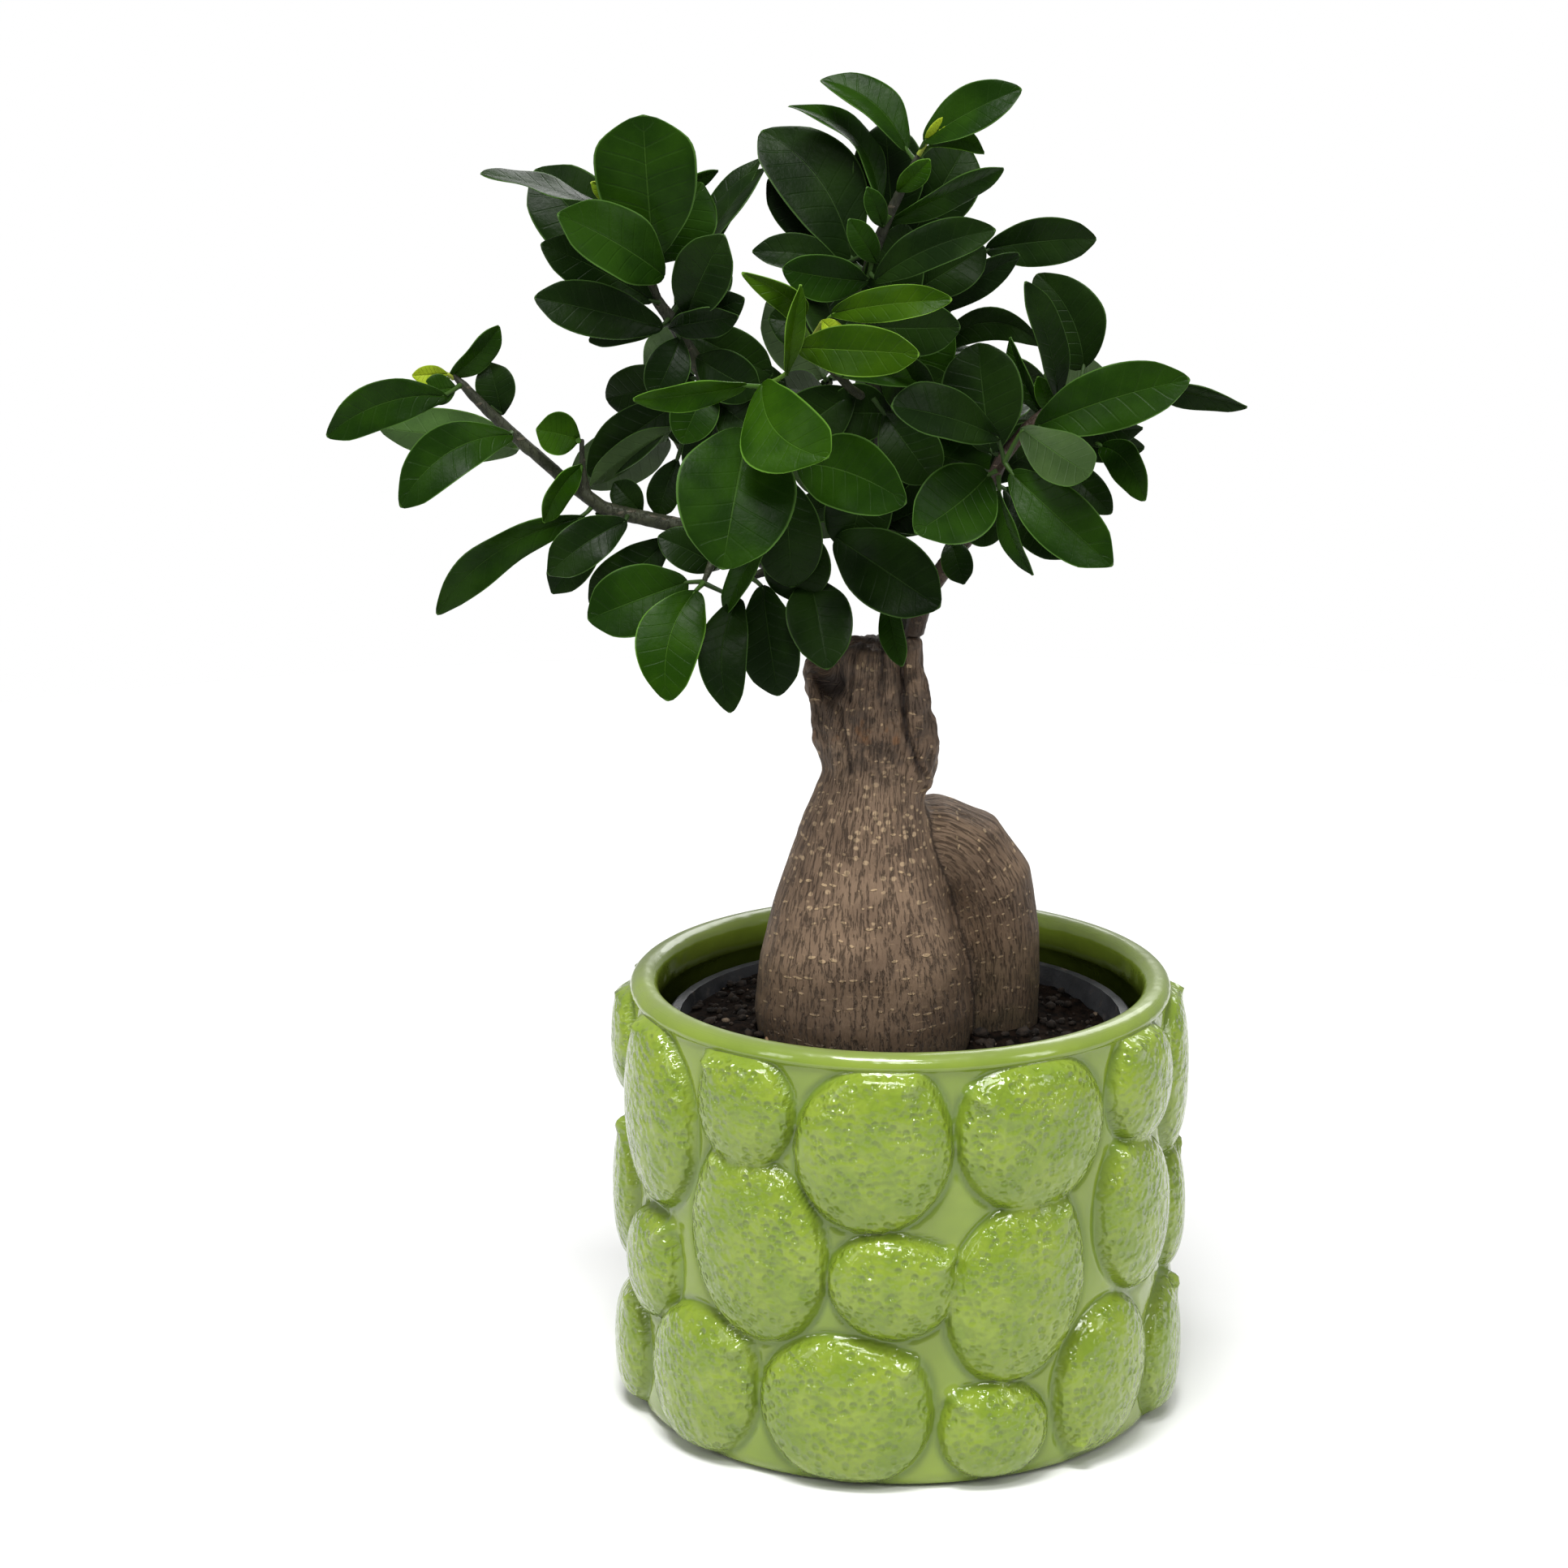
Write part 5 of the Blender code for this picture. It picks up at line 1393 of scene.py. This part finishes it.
def fill_crown(twig_points, shown_blades):
    """Seeded leaves from the twigs inside and at the back of the crown, clear of all the others."""
    chance = random.Random(41)
    trees = [outline_tree(blade) for blade in shown_blades]
    middle = Vector((-14.0, 10.0, 262.0)) * MM
    grown = []
    candidates = [point for point in twig_points if point.z > 226.0 * MM]
    for _try in range(FILLING_TRIES):
        if len(grown) >= MOST_INNER_LEAVES:
            break
        start = chance.choice(candidates)
        away = start - middle
        away = Vector((away.x, away.y, away.z * 0.7)).normalized()
        wild = Vector([chance.gauss(0.0, 1.0) for _axis in range(3)]).normalized()
        direction = (0.9 * away + 0.85 * wild + Vector((0.0, 0.12, 0.10))).normalized()
        length = chance.uniform(20.0, 31.0) * MM
        base = start + direction * 3.0 * MM
        tip = base + direction * length
        if tip.y < -6.0 * MM or tip.z < 214.0 * MM or tip.y > 70.0 * MM:
            continue
        share = -VIEWPOINT.y * MM / (tip.y - VIEWPOINT.y * MM)
        seen_x = tip.x * share / MM
        seen_z = VIEWPOINT.z + (tip.z / MM - VIEWPOINT.z) * share
        if not any(((seen_x - x) / a) ** 2 + ((seen_z - z) / b) ** 2 < 1.0 for x, z, a, b in FULL_ZONES):
            continue
        lean = Vector([chance.gauss(0.0, 0.6) for _axis in range(3)])
        upper = Vector((0.0, 0.0, 1.0)) + 0.7 * away + 0.5 * lean
        if abs(upper.normalized().dot(direction)) > 0.93:
            continue
        width = length / MM * chance.uniform(0.48, 0.62)
        arch, fold = chance.uniform(1.0, 3.0), chance.uniform(0.12, 0.3)
        sweep, fullest = chance.uniform(-2.0, 2.0), chance.uniform(0.5, 0.64)
        blade = make_blade(base, tip, upper, width, arch, fold, sweep, fullest, start)
        tree = outline_tree(blade)
        if any(tree.overlap(other) for other in trees):
            continue
        trees.append(tree)
        grown.append(blade)
    return grown


# --------------------------------------------------------------------------------------------------- soil


DARK_CRUMB_COUNT = 620
PALE_CRUMB_COUNT = 46
CRUMB_SPREAD = 55.0  # crumbs lie within this distance of the pot's axis


def build_soil(node):
    """Loose peat: the packed soil with a finer, lumpy top, and crumbs lying on it."""
    soil = bpy.data.objects.new("soil_surface", node.data.copy())
    bpy.context.scene.collection.objects.link(soil)
    mesh = bmesh.new()
    mesh.from_mesh(soil.data)
    bmesh.ops.remove_doubles(mesh, verts=mesh.verts, dist=1e-6)
    long_edges = [edge for edge in mesh.edges if edge.calc_length() > 2.2 * MM]
    bmesh.ops.subdivide_edges(mesh, edges=long_edges, cuts=2, use_grid_fill=True)
    bmesh.ops.triangulate(mesh, faces=mesh.faces)
    long_edges = [edge for edge in mesh.edges if edge.calc_length() > 2.0 * MM]
    top_edges = [edge for edge in long_edges if edge.verts[0].co.z > 95.0 * MM]
    bmesh.ops.subdivide_edges(mesh, edges=top_edges, cuts=1)
    bmesh.ops.triangulate(mesh, faces=mesh.faces)
    mesh.to_mesh(soil.data)
    mesh.free()
    points, normals = points_of(soil.data), normals_of(soil.data)
    top = (normals[:, 2] > 0.5) & (points[:, 2] > 0.090)
    lumps = 0.9 * wavy(points, 0.005, 31) + 0.5 * wavy(points, 0.0022, 32)
    points[:, 2] += np.where(top, lumps * MM, 0.0)
    move_points(soil.data, points)
    soil.data.materials.clear()
    soil.data.materials.append(DARK_SOIL)
    soil.data.shade_smooth()
    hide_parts("soil")
    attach(soil, BODY)
    faces = [tuple(face.vertices) for face in soil.data.polygons]
    surface = BVHTree.FromPolygons([tuple(point) for point in points], faces)
    scatter_crumbs(surface, "soil_crumbs_dark", CRUMBS_DARK, DARK_CRUMB_COUNT, (0.5, 1.9), 51)
    scatter_crumbs(surface, "soil_crumbs_pale", CRUMBS_PALE, PALE_CRUMB_COUNT, (0.4, 1.1), 52)


def crumb(chance, place, size):
    """Points and faces of one lumpy crumb."""
    ball = bmesh.new()
    bmesh.ops.create_icosphere(ball, subdivisions=1, radius=1.0)
    spread = Vector((chance.uniform(0.7, 1.3), chance.uniform(0.6, 1.2), chance.uniform(0.5, 0.9)))
    turn = Matrix.Rotation(chance.uniform(0, math.pi), 3, "Z")
    turn = turn @ Matrix.Rotation(chance.uniform(-0.6, 0.6), 3, "X")
    points = []
    for vertex in ball.verts:
        rough = 1.0 + 0.35 * noise.noise(vertex.co * 1.7 + place * 900.0)
        local = Vector((vertex.co.x * spread.x, vertex.co.y * spread.y, vertex.co.z * spread.z))
        points.append(place + turn @ local * size * rough)
    faces = [tuple(vertex.index for vertex in face.verts) for face in ball.faces]
    ball.free()
    return points, faces


def scatter_crumbs(surface, name, made_of, count, sizes, seed):
    """One object of crumbs that lie on the soil, each between two radii in millimetres."""
    chance = random.Random(seed)
    points, faces = [], []
    while count:
        radius = CRUMB_SPREAD * math.sqrt(chance.random())
        angle = chance.uniform(0, 2 * math.pi)
        above = Vector((radius * math.cos(angle), radius * math.sin(angle), 112.0)) * MM
        hit, normal, _index, _distance = surface.ray_cast(above, Vector((0.0, 0.0, -1.0)))
        if hit is None or normal.z < 0.4 or hit.z < 0.092:
            continue
        size = MM * (sizes[0] + (sizes[1] - sizes[0]) * chance.random() ** 2.2)
        more_points, more_faces = crumb(chance, hit + Vector((0.0, 0.0, 0.35 * size)), size)
        start = len(points)
        points += more_points
        faces += [tuple(start + corner for corner in face) for face in more_faces]
        count -= 1
    made = new_object(name, points, faces, [made_of])
    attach(made, BODY)


DRY_ROOTS = [
    [(-30, -40, 103), (-36, -36, 104.5), (-43, -30, 106), (-50, -24, 107.5)],
    [(-26, -44, 102.5), (-30, -38, 103.5), (-33, -30, 104), (-34, -24, 104.6)],
]
DRY_ROOT_RADIUS = 0.42


def build_straw():
    """Two dry roots that lie from the soil against the nursery pot's wall."""
    for number, line in enumerate(DRY_ROOTS):
        curve = bpy.data.curves.new(f"dry_root_{number + 1}", "CURVE")
        curve.dimensions = "3D"
        curve.bevel_depth = DRY_ROOT_RADIUS * MM
        curve.bevel_resolution = 3
        curve.use_fill_caps = True
        spline = curve.splines.new("BEZIER")
        spline.bezier_points.add(len(line) - 1)
        for bezier, place in zip(spline.bezier_points, line):
            bezier.co = Vector(place) * MM
            bezier.handle_left_type = "AUTO"
            bezier.handle_right_type = "AUTO"
        curve.materials.append(STRAW)
        straw = bpy.data.objects.new(curve.name, curve)
        bpy.context.scene.collection.objects.link(straw)
        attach(straw, BODY)


# -------------------------------------------------------------------------------------------------- stage


FLOOR_RADIUS = 0.8
LIT_MIDDLE = Vector((0.0, 0.0, 0.16))


def build_stage():
    """A round pale floor just under the pot."""
    made, tree, shader = new_material("pale_floor", roughness=0.85, specular=0.1)
    place = own_position(tree)
    paper = cloudy_colours(tree, MOTTLING, place, 2.0, (0.80, 0.80, 0.80), (0.78, 0.78, 0.78))
    tree.links.new(paper, shader.inputs["Base Color"])
    side_count = 96
    turns = [2.0 * math.pi * side / side_count for side in range(side_count)]
    corners = [(FLOOR_RADIUS * math.cos(turn), FLOOR_RADIUS * math.sin(turn), 0.0) for turn in turns]
    floor = new_object("floor", corners, [range(side_count)], [made], smooth=False)
    floor.location.z = -0.0002


def add_softbox(name, place, size, power):
    light = bpy.data.lights.new(name, "AREA")
    light.shape = "RECTANGLE"
    light.size, light.size_y = size
    light.energy = power
    lamp = bpy.data.objects.new(name, light)
    lamp.location = place
    aim = LIT_MIDDLE - Vector(place)
    lamp.rotation_euler = aim.to_track_quat("-Z", "Y").to_euler()
    bpy.context.scene.collection.objects.link(lamp)


# Each light's place and size in metres, and its power in watts.
SOFTBOXES = {
    "overhead_softbox": ((-0.15, -0.45, 1.35), (0.55, 0.35), 21.0),
    "front_softbox": ((0.10, -1.05, 1.30), (0.40, 0.22), 6.0),
    "left_softbox": ((-1.3, -0.9, 0.9), (0.3, 0.8), 4.5),
    "right_softbox": ((1.3, -0.7, 0.9), (0.3, 0.8), 5.5),
    "rear_softbox": ((0.3, 1.2, 1.0), (0.8, 0.6), 8.0),
}
ROOM_STRENGTH = 0.42
BACKDROP_STRENGTH = 1.0


def build_lights():
    """A pale room with softboxes, and a white backdrop behind the object."""
    world = bpy.data.worlds.new("pale_room")
    world.use_nodes = True
    tree = world.node_tree
    room = tree.nodes["Background"]
    room.inputs["Color"].default_value = (1.0, 1.0, 1.0, 1.0)
    room.inputs["Strength"].default_value = ROOM_STRENGTH
    backdrop = add_node(tree, "ShaderNodeBackground")
    backdrop.inputs["Color"].default_value = (1.0, 1.0, 1.0, 1.0)
    backdrop.inputs["Strength"].default_value = BACKDROP_STRENGTH
    either = add_node(tree, "ShaderNodeMixShader")
    tree.links.new(add_node(tree, "ShaderNodeLightPath").outputs["Is Camera Ray"], either.inputs["Fac"])
    tree.links.new(room.outputs["Background"], either.inputs[1])
    tree.links.new(backdrop.outputs["Background"], either.inputs[2])
    tree.links.new(either.outputs["Shader"], tree.nodes["World Output"].inputs["Surface"])
    bpy.context.scene.world = world
    for name, (place, size, power) in SOFTBOXES.items():
        add_softbox(name, place, size, power)


CAMERA_PLACE = (0.0, -1.2466, 0.50996)
CAMERA_TILT = 74.546  # degrees up from looking straight down
CAMERA_TURN = 1.383  # degrees to the left of straight ahead
FOCAL_LENGTH = 115.885
SENSOR_WIDTH = 36.0


def build_camera():
    """The camera in front of the object, a little above it."""
    camera = bpy.data.cameras.new("front_camera")
    camera.lens = FOCAL_LENGTH
    camera.sensor_width = SENSOR_WIDTH
    holder = bpy.data.objects.new("front_camera", camera)
    holder.location = CAMERA_PLACE
    holder.rotation_euler = (math.radians(CAMERA_TILT), 0.0, math.radians(CAMERA_TURN))
    bpy.context.scene.collection.objects.link(holder)
    bpy.context.scene.camera = holder


# --------------------------------------------------------------------------------------------------- main


def clear_scene():
    for scene_object in list(bpy.data.objects):
        bpy.data.objects.remove(scene_object, do_unlink=True)


def main():
    clear_scene()
    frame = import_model()
    nodes = frame["nodes"]
    build_pot()
    nodes["nursery_pot"].data.materials.clear()
    nodes["nursery_pot"].data.materials.append(GREY_PLASTIC)
    build_rootstock(nodes["rootstock"])
    for name, bark in (("scion_left", TWIG_BARK), ("scion_right", RED_TWIG), ("scion_rear", TWIG_BARK)):
        build_scion(nodes[name], name, bark)
    build_leaves(frame)
    build_soil(nodes["soil"])
    build_straw()
    build_stage()
    build_lights()
    build_camera()
    bpy.context.scene.view_settings.view_transform = "Standard"


main()
